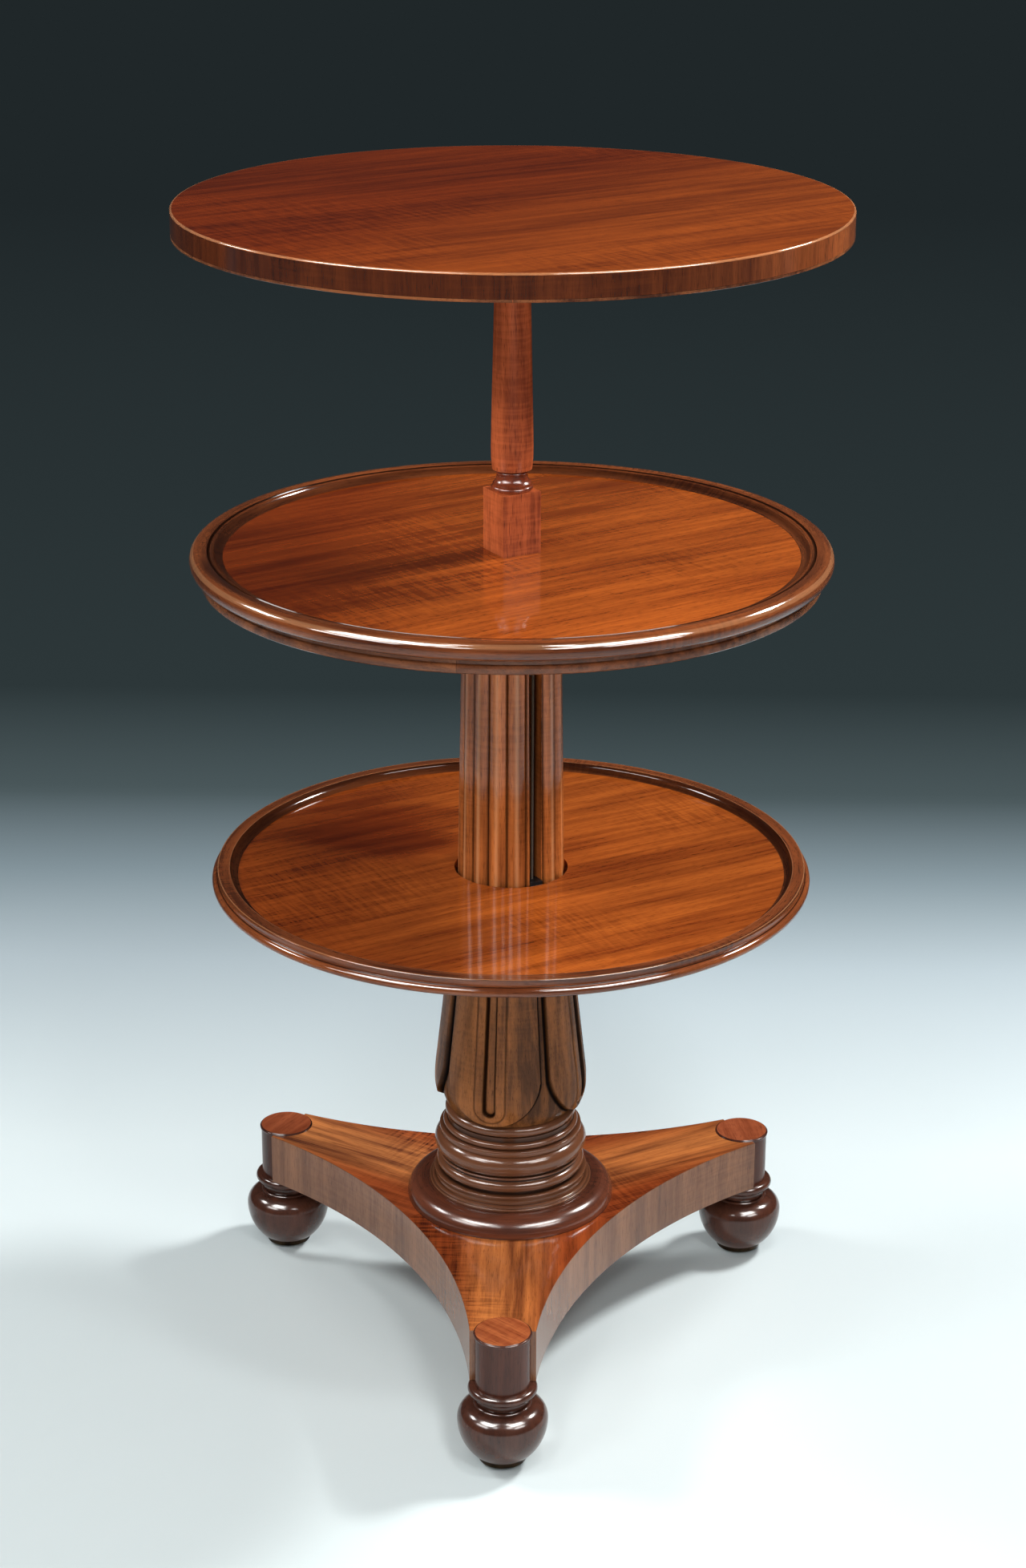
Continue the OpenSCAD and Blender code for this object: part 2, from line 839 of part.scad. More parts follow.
// Round board of the middle tier, socketed for the tenon and pierced for the shaft
mid_board_r = mid_floor_d / 2 + 3;
module middle_board() {
  color(light_wood)
    difference() {
      translate([0, 0, mid_board_z])
        cylinder(r = mid_board_r, h = mid_board_t);
      translate([0, 0, mid_board_z - 1])
        cylinder(r = tenon_d / 2 + fit, h = tenon_top_z - mid_board_z + 1 + fit);
      rotate([0, 0, slot_angle])
        translate([-square_bore / 2, -square_bore / 2, mid_board_z])
          cube([square_bore, square_bore, mid_board_t + 1]);
      on_circle(6, mid_screw_r, 0)
        screw_hole(mid_boss_z, mid_boss_t + screw_bite);
    }
}

// Rim of the middle tier: cavetto, sloping top and bold torus nose
mid_torus_r = 9;
module middle_rim() {
  nose = mid_d / 2;
  ridge_r = nose - mid_torus_r;
  torus_z = mid_ridge_z - mid_torus_r;
  inner_top_r = mid_floor_d / 2 + 10.5;
  color(wood)
    rotate_extrude()
      union() {
        difference() {
          polygon([
            [mid_floor_d / 2, mid_floor_z],
            [mid_board_r + fit, mid_floor_z],
            [mid_board_r + fit, torus_z - mid_torus_r],
            [ridge_r, torus_z - mid_torus_r],
            [ridge_r, mid_ridge_z],
            [inner_top_r, mid_ridge_z - 2],
            [mid_floor_d / 2, mid_ridge_z - 2]
          ]);
          translate([mid_floor_d / 2, mid_floor_z + 11.5])
            circle(r = 11.5);
          translate([inner_top_r + 3.2, mid_ridge_z - 0.9])
            circle(r = 1.3);
        }
        translate([ridge_r, torus_z])
          circle(r = mid_torus_r);
      }
}

// Built-up ring under the middle rim, with a sunk fillet above it
module middle_lower_ring() {
  torus_z = mid_ridge_z - mid_torus_r;
  top = torus_z - mid_torus_r;
  band_h = 9;
  band_r = mid_d / 2 - 10;
  round_r = 2.4;
  color(dark_wood)
    difference() {
      rotate_extrude()
        union() {
          translate([mid_board_r + fit, mid_ring_z])
            square([band_r - round_r - mid_board_r - fit, band_h]);
          translate([mid_board_r + fit, mid_ring_z + round_r])
            square([band_r - mid_board_r - fit, band_h - 2 * round_r]);
          for (z = [mid_ring_z + round_r, mid_ring_z + band_h - round_r])
            translate([band_r - round_r, z])
              circle(r = round_r);
          translate([mid_board_r + fit, mid_ring_z + band_h])
            square([band_r - 2 - mid_board_r - fit, top - mid_ring_z - band_h]);
        }
      kerfs(band_r + 10, mid_ring_z, 20, -98);
    }
}

module pulley_axles() {
  color(steel)
    each_slot()
      translate([pulley_at_r, axle_l / 2, pulley_z])
        rotate([90, 0, 0])
          cylinder(r = axle_r, h = axle_l);
}

// Bowed steel strips that press on the fixed column's bore
module friction_springs() {
  color(steel)
    for (turn = [90, 270])
      rotate([0, 0, slot_angle + turn])
        difference() {
          translate([0, spring_w / 2, 0])
            rotate([90, 0, 0])
              linear_extrude(spring_w)
                intersection() {
                  difference() {
                    translate([spring_crest_r - spring_arc_r, spring_mid_z])
                      circle(r = spring_arc_r, $fn = 360);
                    translate([spring_crest_r - spring_arc_r, spring_mid_z])
                      circle(r = spring_arc_r - spring_t, $fn = 360);
                  }
                  translate([spring_seat_r, spring_mid_z - spring_half_l])
                    square([20, 2 * spring_half_l]);
                }
          translate([0, 0, spring_mid_z - spring_screw_dz])
            rotate([0, 90, 0])
              cylinder(r = 1.2 + fit, h = 80);
        }
}
module friction_spring_screws() {
  head_at = spring_head_at + fit;
  color(brass)
    for (turn = [90, 270])
      rotate([0, 0, slot_angle + turn])
        translate([0, 0, spring_mid_z - spring_screw_dz])
          rotate([0, 90, 0]) {
            translate([0, 0, head_at])
              cylinder(r = spring_head_r, h = 0.9);
            translate([0, 0, spring_seat_r - 8])
              cylinder(r = 1.2, h = head_at + 8.1 - spring_seat_r);
          }
}

// Cord from each pulley down to the foot of the shaft
module cord_inner_run() {
  color(cord_colour)
    each_slot()
      translate([pulley_at_r - cord_turn_r, 0, shaft_foot_z])
        cylinder(r = cord_r, h = pulley_z - shaft_foot_z);
}
module cord_over_pulley() {
  color(cord_colour)
    each_slot()
      translate([pulley_at_r, 0, pulley_z])
        rotate([90, 0, 0])
          rotate_extrude(angle = 180)
            translate([cord_turn_r, 0])
              circle(r = cord_r, $fn = 24);
}

// Grooved pulley on a long hub
module pulley(turn) {
  hub_l = slot_w - 0.8;
  color(brass)
    rotate([0, 0, slot_angle + turn])
      translate([pulley_at_r, 0, pulley_z])
        rotate([90, 0, 0])
          rotate_extrude()
            difference() {
              union() {
                translate([axle_r + running_gap, -hub_l / 2])
                  square([pulley_hub_r - axle_r - running_gap, hub_l]);
                translate([axle_r + running_gap, -pulley_w / 2])
                  square([pulley_flange_r - axle_r - running_gap, pulley_w]);
              }
              translate([cord_turn_r + 0.3, 0])
                circle(r = cord_r + 0.5);
              translate([cord_turn_r, -cord_r - 0.4])
                square([10, 2 * cord_r + 0.8]);
            }
}

// Slender shaft: square foot, small neck mouldings, cigar-shaped stem and tenon
module slender_shaft() {
  block_top = mid_floor_z + block_h;
  half = shaft_side / 2;
  belly_r = half;
  stem_z = block_top + 20;
  color(wood)
    difference() {
      union() {
        rotate([0, 0, slot_angle])
          translate([-half, -half, shaft_foot_z])
            cube([shaft_side, shaft_side, block_top - shaft_foot_z]);
        rotate_extrude()
          union() {
            translate([0, block_top - 1])
              square([half - 1.6, 3]);
            translate([half - 2.4, block_top + 2.6])
              circle(r = 2.4);
            translate([0, block_top + 1])
              square([half - 2.4, 4]);
            difference() {
              translate([0, block_top + 5])
                square([half - 1.6, 9]);
              translate([half + 3.8, block_top + 14])
                circle(r = 9);
            }
            translate([0, block_top + 13])
              square([half - 6, 7.5]);
            translate([half - 6.2, block_top + 16.8])
              circle(r = 1.7);
            polygon([
              [0, stem_z],
              [belly_r - 1.1, stem_z],
              [belly_r - 0.2, stem_z + 10],
              [belly_r, stem_z + 21],
              [belly_r - 0.4, stem_z + 45],
              [shaft_top_d / 2, top_bearer_z],
              [0, top_bearer_z]
            ]);
          }
        translate([0, 0, top_bearer_z - 1])
          cylinder(r = shaft_tenon_r, h = top_bearer_t + 11);
      }
      for (side = [-1, 1])
        rotate([0, 0, slot_angle + 90])
          translate([side * 9, 0, shaft_foot_z - 1])
            cylinder(r = screw_r + fit, h = 1 + 14.5);
    }
}
shaft_tenon_r = 12;

// Iron plate on the foot of the shaft, with a lug in each slot for the cord
module shaft_foot_plate() {
  side = shaft_side - 0.4;
  z = shaft_foot_z - foot_plate_t;
  color(steel)
    difference() {
      rotate([0, 0, slot_angle])
        union() {
          translate([-side / 2, -side / 2, z])
            cube([side, side, foot_plate_t]);
          translate([-lug_r, -lug_w / 2, z])
            cube([2 * lug_r, lug_w, foot_plate_t]);
        }
      for (side = [-1, 1])
        rotate([0, 0, slot_angle + 90])
          translate([side * 9, 0, 0])
            screw_hole(z, foot_plate_t + 1);
    }
}
module shaft_foot_screws() {
  color(brass)
    for (side = [-1, 1])
      rotate([0, 0, slot_angle + 90])
        translate([side * 9, 0, 0])
          screw_up(shaft_foot_z - foot_plate_t, foot_plate_t + 14);
}

// Turned bearer screwed under the top
top_screw_r = top_bearer_d / 2 - 16;
module top_bearer() {
  color(wood)
    difference() {
      rotate_extrude()
        union() {
          translate([shaft_tenon_r + fit, top_bearer_z])
            square([top_bearer_d / 2 - shaft_tenon_r - fit - 8, top_bearer_t]);
          translate([shaft_tenon_r + fit, top_board_z - 3])
            square([top_bearer_d / 2 - shaft_tenon_r - fit, 3]);
          intersection() {
            translate([top_bearer_d / 2 - 8, top_board_z - 3])
              circle(r = 8);
            translate([top_bearer_d / 2 - 8, top_bearer_z])
              square([8, top_bearer_t]);
          }
        }
      on_circle(6, top_screw_r, 0)
        screw_hole(top_bearer_z, top_bearer_t + screw_bite);
    }
}
module top_bearer_screws() {
  color(brass)
    on_circle(6, top_screw_r, 0)
      screw_up(top_bearer_z, top_bearer_t + screw_bite);
}

// Round board of the top
module top_board() {
  color(light_wood)
    difference() {
      translate([0, 0, top_board_z])
        cylinder(r = top_d / 2 - edge_band_t - fit, h = top_board_t);
      translate([0, 0, top_board_z - 1])
        cylinder(r = shaft_tenon_r + fit, h = 11.5);
      on_circle(6, top_screw_r, 0)
        screw_hole(top_bearer_z, top_bearer_t + screw_bite);
    }
}

// Crossbanded edge of the top, with its upper arris rounded
module top_edge_band() {
  round_r = 0.9;
  foot_z = top_board_z - band_lap;
  color(dark_wood)
    rotate_extrude()
      union() {
        translate([top_d / 2 - edge_band_t, foot_z])
          square([edge_band_t, top_z - round_r - foot_z]);
        translate([top_d / 2 - edge_band_t, foot_z])
          square([edge_band_t - round_r, top_z - foot_z]);
        translate([top_d / 2 - round_r, top_z - round_r])
          circle(r = round_r, $fn = 48);
      }
}

// Built-up lipping that thickens the top's edge from below
module top_lipping() {
  color(wood)
    difference() {
      union() {
        ring(top_d / 2, top_d / 2 - lipping_w, lipping_z, lipping_h - band_lap);
        ring(top_d / 2 - edge_band_t - fit, top_d / 2 - lipping_w, lipping_z, lipping_h);
      }
      kerfs(top_d / 2 + 10, lipping_z, lipping_h, -88.6);
    }
}

platform();
corner_post(0);  // corner_post_1
corner_post(1);  // corner_post_2
corner_post(2);  // corner_post_3
foot(0);  // foot_1
foot(1);  // foot_2
foot(2);  // foot_3
cushion_ring();
vase_column();
lower_bearer();
lower_bearer_screws();
lower_board();
lower_rim();
guide_collar();
guide_keys();
well_cover();
well_cover_screws();
caster_cup(0);  // caster_cup_1
caster_cup(1);  // caster_cup_2
caster_cup(2);  // caster_cup_3
cord_outer_run();
reeded_column();
middle_boss();
middle_boss_screws();
middle_board();
middle_rim();
middle_lower_ring();
pulley_axles();
friction_springs();
friction_spring_screws();
cord_inner_run();
cord_over_pulley();
pulley(0);  // pulley_1
pulley(180);  // pulley_2
slender_shaft();
shaft_foot_plate();
shaft_foot_screws();
top_bearer();
top_bearer_screws();
top_board();
top_edge_band();
top_lipping();
caster_fork(0);  // caster_fork_1
caster_fork(1);  // caster_fork_2
caster_fork(2);  // caster_fork_3
caster_axle(0);  // caster_axle_1
caster_axle(1);  // caster_axle_2
caster_axle(2);  // caster_axle_3
caster_wheel(0);  // caster_wheel_1
caster_wheel(1);  // caster_wheel_2
caster_wheel(2);  // caster_wheel_3
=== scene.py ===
import math

import bmesh
import bpy
from mathutils import Matrix, Vector


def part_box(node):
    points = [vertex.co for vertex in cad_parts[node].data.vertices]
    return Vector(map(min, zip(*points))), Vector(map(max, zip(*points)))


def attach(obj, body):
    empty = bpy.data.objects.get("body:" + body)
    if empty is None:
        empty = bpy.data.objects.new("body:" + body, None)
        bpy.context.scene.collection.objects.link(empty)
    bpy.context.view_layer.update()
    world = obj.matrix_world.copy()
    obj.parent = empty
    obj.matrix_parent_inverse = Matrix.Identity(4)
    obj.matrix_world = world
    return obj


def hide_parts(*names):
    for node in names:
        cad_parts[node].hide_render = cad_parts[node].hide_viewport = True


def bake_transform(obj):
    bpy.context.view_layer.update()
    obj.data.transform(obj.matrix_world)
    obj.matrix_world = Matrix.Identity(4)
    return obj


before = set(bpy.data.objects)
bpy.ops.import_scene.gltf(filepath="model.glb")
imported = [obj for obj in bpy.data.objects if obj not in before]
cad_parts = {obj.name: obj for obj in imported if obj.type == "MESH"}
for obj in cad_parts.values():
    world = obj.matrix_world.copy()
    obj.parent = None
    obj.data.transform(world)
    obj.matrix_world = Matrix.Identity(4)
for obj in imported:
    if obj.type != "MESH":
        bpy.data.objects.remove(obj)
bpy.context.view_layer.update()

# Camera
# It stands at the photograph's distance and height, a little to the right of
# the front foot, and carries the photograph's slight roll.
CAMERA_DISTANCE = 2.7978
CAMERA_HEIGHT = 1.6471
CAMERA_AZIMUTH = math.radians(1.364)
CAMERA_PITCH = math.radians(21.01)
CAMERA_ROLL = 0.00289
CAMERA_TURN = -0.00059
FOCAL_PIXELS = 3914.4
PHOTO_HEIGHT = 1957

camera_data = bpy.data.cameras.new("camera")
camera_data.sensor_width = 36.0
camera_data.lens = FOCAL_PIXELS * camera_data.sensor_width / PHOTO_HEIGHT
camera_data.clip_end = 60.0
camera = bpy.data.objects.new("camera", camera_data)
bpy.context.scene.collection.objects.link(camera)
camera.matrix_world = (
    Matrix.Rotation(CAMERA_AZIMUTH, 4, "Z")
    @ Matrix.Translation((0, -CAMERA_DISTANCE, CAMERA_HEIGHT))
    @ Matrix.Rotation(CAMERA_TURN, 4, "Z")
    @ Matrix.Rotation(math.pi / 2 - CAMERA_PITCH, 4, "X")
    @ Matrix.Rotation(CAMERA_ROLL, 4, "Z")
)
bpy.context.scene.camera = camera
bpy.context.scene.view_settings.view_transform = "Standard"


# Studio
# A pale sweep that darkens to blue-grey far behind the table, and far off it is a painted glow: its
# colour shines as light for the camera and in reflections. Small soft boxes light it from both
# sides and from the front, and the wide ones named sheen are seen only as reflections in the
# polish.
def tone(red, green, blue):
    """A colour given as it looks on screen, 0 to 255, as linear values."""

    def linear(value):
        value /= 255
        return value / 12.92 if value <= 0.04045 else ((value + 0.055) / 1.055) ** 2.4

    return (linear(red), linear(green), linear(blue), 1.0)


def add_node(tree, kind, values=None, **settings):
    """Adds a node; a value that is a socket is linked, any other is set."""
    made = tree.nodes.new(kind)
    for key, value in settings.items():
        setattr(made, key, value)
    for key, value in (values or {}).items():
        if isinstance(value, bpy.types.NodeSocket):
            tree.links.new(value, made.inputs[key])
        else:
            made.inputs[key].default_value = value
    return made


def ramp(tree, fac, stops):
    made = add_node(tree, "ShaderNodeValToRGB", {"Fac": fac})
    elements = made.color_ramp.elements
    while len(elements) < len(stops):
        elements.new(0.5)
    for element, (place, colour) in zip(elements, stops):
        element.position = place
        element.color = colour
    return made.outputs["Color"]


def sums(tree, operation, first, second=0.0, third=None):
    values = {0: first, 1: second}
    if third is not None:
        values[2] = third
    return add_node(tree, "ShaderNodeMath", values, operation=operation).outputs[0]


def span(tree, value, low, high):
    """0 to 1 as the value goes smoothly from low to high."""
    return add_node(
        tree,
        "ShaderNodeMapRange",
        {"Value": value, "From Min": low, "From Max": high},
        interpolation_type="SMOOTHSTEP",
    ).outputs["Result"]


def part_of(tree, vector, axis):
    return add_node(tree, "ShaderNodeSeparateXYZ", {0: vector}).outputs[axis]


def seen_or_mirrored(tree):
    """1 for a ray from the camera, or one that polish or glass sends on."""
    rays = add_node(tree, "ShaderNodeLightPath").outputs
    seen = sums(tree, "MAXIMUM", rays["Is Camera Ray"], rays["Is Glossy Ray"])
    return sums(tree, "MAXIMUM", seen, rays["Is Transmission Ray"])


def new_material(name):
    """A material and its node tree, emptied."""
    material = bpy.data.materials.new(name)
    material.use_nodes = True
    material.node_tree.nodes.clear()
    return material, material.node_tree


SWEEP_NEAR, SWEEP_FAR = -2.0, 6.0
SWEEP_PAINT = (
    (SWEEP_NEAR, (219, 230, 231)),
    (0.35, (204, 216, 220)),
    (0.85, (170, 184, 192)),
    (1.15, (128, 144, 152)),
    (1.45, (74, 87, 90)),
    (1.9, (45, 55, 57)),
    (3.0, (41, 50, 52)),
    (SWEEP_FAR, (32, 39, 41)),
)
GLOW_NEAR, GLOW_FAR = 0.7, 1.5
AIR_LIGHT = 0.22
SWEEP_CORNERS = [(-9, -9, 0), (9, -9, 0), (9, 14, 0), (-9, 14, 0)]
sweep_material, tree = new_material("studio_sweep")
depth = part_of(tree, add_node(tree, "ShaderNodeTexCoord").outputs["Object"], "Y")
along = add_node(
    tree,
    "ShaderNodeMapRange",
    {"Value": depth, "From Min": SWEEP_NEAR, "From Max": SWEEP_FAR},
).outputs["Result"]
depth_of_sweep = SWEEP_FAR - SWEEP_NEAR
stops = [((y - SWEEP_NEAR) / depth_of_sweep, tone(*paint)) for y, paint in SWEEP_PAINT]
colour = ramp(tree, along, stops)
painted = add_node(
    tree,
    "ShaderNodeBsdfPrincipled",
    {"Base Color": colour, "Roughness": 0.75, "Specular IOR Level": 0.15},
)
# Far behind the table the sweep glows with its own colour, a painted glow.
painted_glow = add_node(tree, "ShaderNodeEmission", {"Color": colour, "Strength": 1.0})
glow = sums(tree, "MULTIPLY", seen_or_mirrored(tree), span(tree, depth, GLOW_NEAR, GLOW_FAR))
shader = add_node(
    tree, "ShaderNodeMixShader", {0: glow, 1: painted.outputs[0], 2: painted_glow.outputs[0]}
)
add_node(tree, "ShaderNodeOutputMaterial", {"Surface": shader.outputs[0]})

sweep_mesh = bpy.data.meshes.new("studio_sweep")
sweep_mesh.from_pydata(SWEEP_CORNERS, [], [(0, 1, 2, 3)])
sweep_mesh.materials.append(sweep_material)
sweep = bpy.data.objects.new("studio_sweep", sweep_mesh)
bpy.context.scene.collection.objects.link(sweep)

world = bpy.data.worlds.new("studio_air")
bpy.context.scene.world = world
world.use_nodes = True
tree = world.node_tree
tree.nodes.clear()
fill = add_node(tree, "ShaderNodeBackground", {"Color": tone(196, 206, 212), "Strength": AIR_LIGHT})
dusk = add_node(tree, "ShaderNodeBackground", {"Color": tone(33, 40, 42), "Strength": 1.0})
air = add_node(
    tree,
    "ShaderNodeMixShader",
    {0: seen_or_mirrored(tree), 1: fill.outputs[0], 2: dusk.outputs[0]},
)
add_node(tree, "ShaderNodeOutputWorld", {"Surface": air.outputs[0]})

LAMP_COLOUR = (1.0, 0.98, 0.95)
for name, place, aim, width, height, watts in (
    ("soft_box_left", (-2.0, 0.35, 1.95), 0.6, 0.6, 0.4, 30),
    ("soft_box_right", (1.85, 0.95, 2.3), 0.6, 0.5, 0.4, 86),
    ("overhead_left", (-0.5, -0.9, 3.0), 0.6, 0.28, 0.28, 6),
    ("overhead_right", (0.5, -0.9, 3.0), 0.6, 0.28, 0.28, 13),
    ("front_far_left", (-1.35, -1.15, 2.05), 0.3, 0.5, 0.5, 8),
    ("front_left", (-0.6, -1.75, 2.05), 0.3, 0.4, 0.4, 8),
    ("front_right", (0.65, -1.75, 2.05), 0.3, 0.4, 0.4, 14),
    ("sheen_left", (-1.75, -1.3, 1.75), 0.4, 1.3, 0.4, 34),
    ("sheen_right", (1.6, -1.5, 1.8), 0.4, 1.1, 0.4, 32),
    ("sheen_high_left", (-0.95, -0.85, 2.05), 0.4, 1.1, 0.7, 95),
    ("sheen_high_right", (0.95, -0.85, 2.05), 0.4, 1.1, 0.7, 95),
    ("front_fill", (0.5, -3.4, 1.0), 0.4, 2.4, 1.2, 34),
):
    lamp = bpy.data.lights.new(name, "AREA")
    lamp.shape = "RECTANGLE"
    lamp.size, lamp.size_y = width, height
    lamp.energy = watts
    lamp.color = LAMP_COLOUR
    box = bpy.data.objects.new(name, lamp)
    bpy.context.scene.collection.objects.link(box)
    box.location = place
    box.rotation_euler = (Vector((0, 0, aim)) - Vector(place)).to_track_quat("-Z", "Y").to_euler()
    box.visible_diffuse = not name.startswith("sheen")
    box.visible_glossy = name != "front_fill"


# Mahogany
# All the show wood is one timber, cut and polished in different ways. The
# group draws its figure along X; each material turns and tints it.
def name_sockets(group, side, **kinds):
    """Gives a node group its named inputs or outputs."""
    for label, kind in kinds.items():
        group.interface.new_socket(
            label.replace("_", " "), in_out=side, socket_type="NodeSocket" + kind
        )


def stretched_noise(tree, vector, scale, detail, roughness=0.5, distortion=0.0):
    """Noise drawn out along the grain: scale is its frequency per metre."""
    mapped = add_node(tree, "ShaderNodeMapping", {"Vector": vector, "Scale": scale})
    return add_node(
        tree,
        "ShaderNodeTexNoise",
        {
            "Vector": mapped.outputs[0],
            "Scale": 1.0,
            "Detail": detail,
            "Roughness": roughness,
            "Distortion": distortion,
        },
    ).outputs["Fac"]


def blend_colour(tree, mode, factor, first, second):
    mix = add_node(tree, "ShaderNodeMix", data_type="RGBA", blend_type=mode)
    for index, value in ((0, factor), (6, first), (7, second)):
        if isinstance(value, bpy.types.NodeSocket):
            tree.links.new(value, mix.inputs[index])
        else:
            mix.inputs[index].default_value = value
    return mix.outputs[2]


def sway(tree, pattern, amount, level):
    """Moves a level up and down with a pattern whose middle is 0.5."""
    return sums(tree, "MULTIPLY_ADD", sums(tree, "SUBTRACT", pattern, 0.5), amount, level)


MIDDLE_LEVEL = 0.52
PORE_TONE = (96, 70, 60)
figure = bpy.data.node_groups.new("mahogany_figure", "ShaderNodeTree")
name_sockets(
    figure,
    "INPUT",
    Vector="Vector",
    Pale="Color",
    Deep="Color",
    Streak="Float",
    Ripple="Float",
    Pores="Float",
)
name_sockets(figure, "OUTPUT", Color="Color", Roughness="Float", Height="Float")
given = figure.nodes.new("NodeGroupInput").outputs
result = figure.nodes.new("NodeGroupOutput").inputs
wander = stretched_noise(figure, given["Vector"], (1.3, 4, 4), 2)
wander = sway(figure, wander, 0.022, 0.0)
shift = add_node(figure, "ShaderNodeCombineXYZ", {"Y": wander, "Z": wander}).outputs[0]
grain = add_node(
    figure, "ShaderNodeVectorMath", {0: given["Vector"], 1: shift}, operation="ADD"
).outputs[0]
broad = span(figure, stretched_noise(figure, grain, (2.4, 19, 19), 4, 0.62), 0.3, 0.7)
ribbon = span(figure, stretched_noise(figure, grain, (5, 110, 110), 3, 0.6), 0.3, 0.7)
fibre = stretched_noise(figure, grain, (13, 420, 420), 3, 0.6)
pore = span(figure, stretched_noise(figure, grain, (85, 1500, 1500), 1), 0.57, 0.72)
ripple = span(figure, stretched_noise(figure, grain, (260, 26, 26), 1.5, 0.5, 0.5), 0.34, 0.66)
patch = span(figure, stretched_noise(figure, grain, (3.2, 5, 5), 1.5), 0.45, 0.62)
level = sway(figure, broad, given["Streak"], MIDDLE_LEVEL)
level = sway(figure, ribbon, sums(figure, "MULTIPLY", given["Streak"], 0.7), level)
level = sway(figure, fibre, 0.6, level)
level = sway(figure, ripple, sums(figure, "MULTIPLY", given["Ripple"], patch), level)
level = add_node(figure, "ShaderNodeClamp", {"Value": level}).outputs[0]
wood = blend_colour(figure, "MIX", level, given["Deep"], given["Pale"])
flecks = sums(figure, "MULTIPLY", pore, given["Pores"])
wood = blend_colour(figure, "MULTIPLY", flecks, wood, tone(*PORE_TONE))
figure.links.new(wood, result["Color"])
figure.links.new(sums(figure, "MULTIPLY_ADD", pore, 0.25, 0.36), result["Roughness"])
figure.links.new(sums(figure, "MULTIPLY_ADD", pore, -1.0, fibre), result["Height"])

ALONG_Z = (0, math.radians(90), 0)
# Tone of the pale painted highlight on arrises and reed crests.
PALE_HIGHLIGHT_TONE = (226, 170, 122)
BAND_FADE, BAND_POLISH = 0.002, 0.95
DULLED, ROUGHENED = -0.92, 0.3
# How far the painted shade between reeds and the painted highlight on their crests spread.
GROOVE_EDGE, GROOVE_SHADE = 0.38, 0.8
CREST_HALF, CREST_HIGHLIGHT = 0.16, 0.34
WISP_REACH = 0.12


def surface(tree, values, height, strength, distance):
    """Adds the surface shader, its bump and its output."""
    bump = add_node(
        tree, "ShaderNodeBump", {"Height": height, "Strength": strength, "Distance": distance}
    )
    shader = add_node(tree, "ShaderNodeBsdfPrincipled", {**values, "Normal": bump.outputs[0]})
    add_node(tree, "ShaderNodeOutputMaterial", {"Surface": shader.outputs[0]})


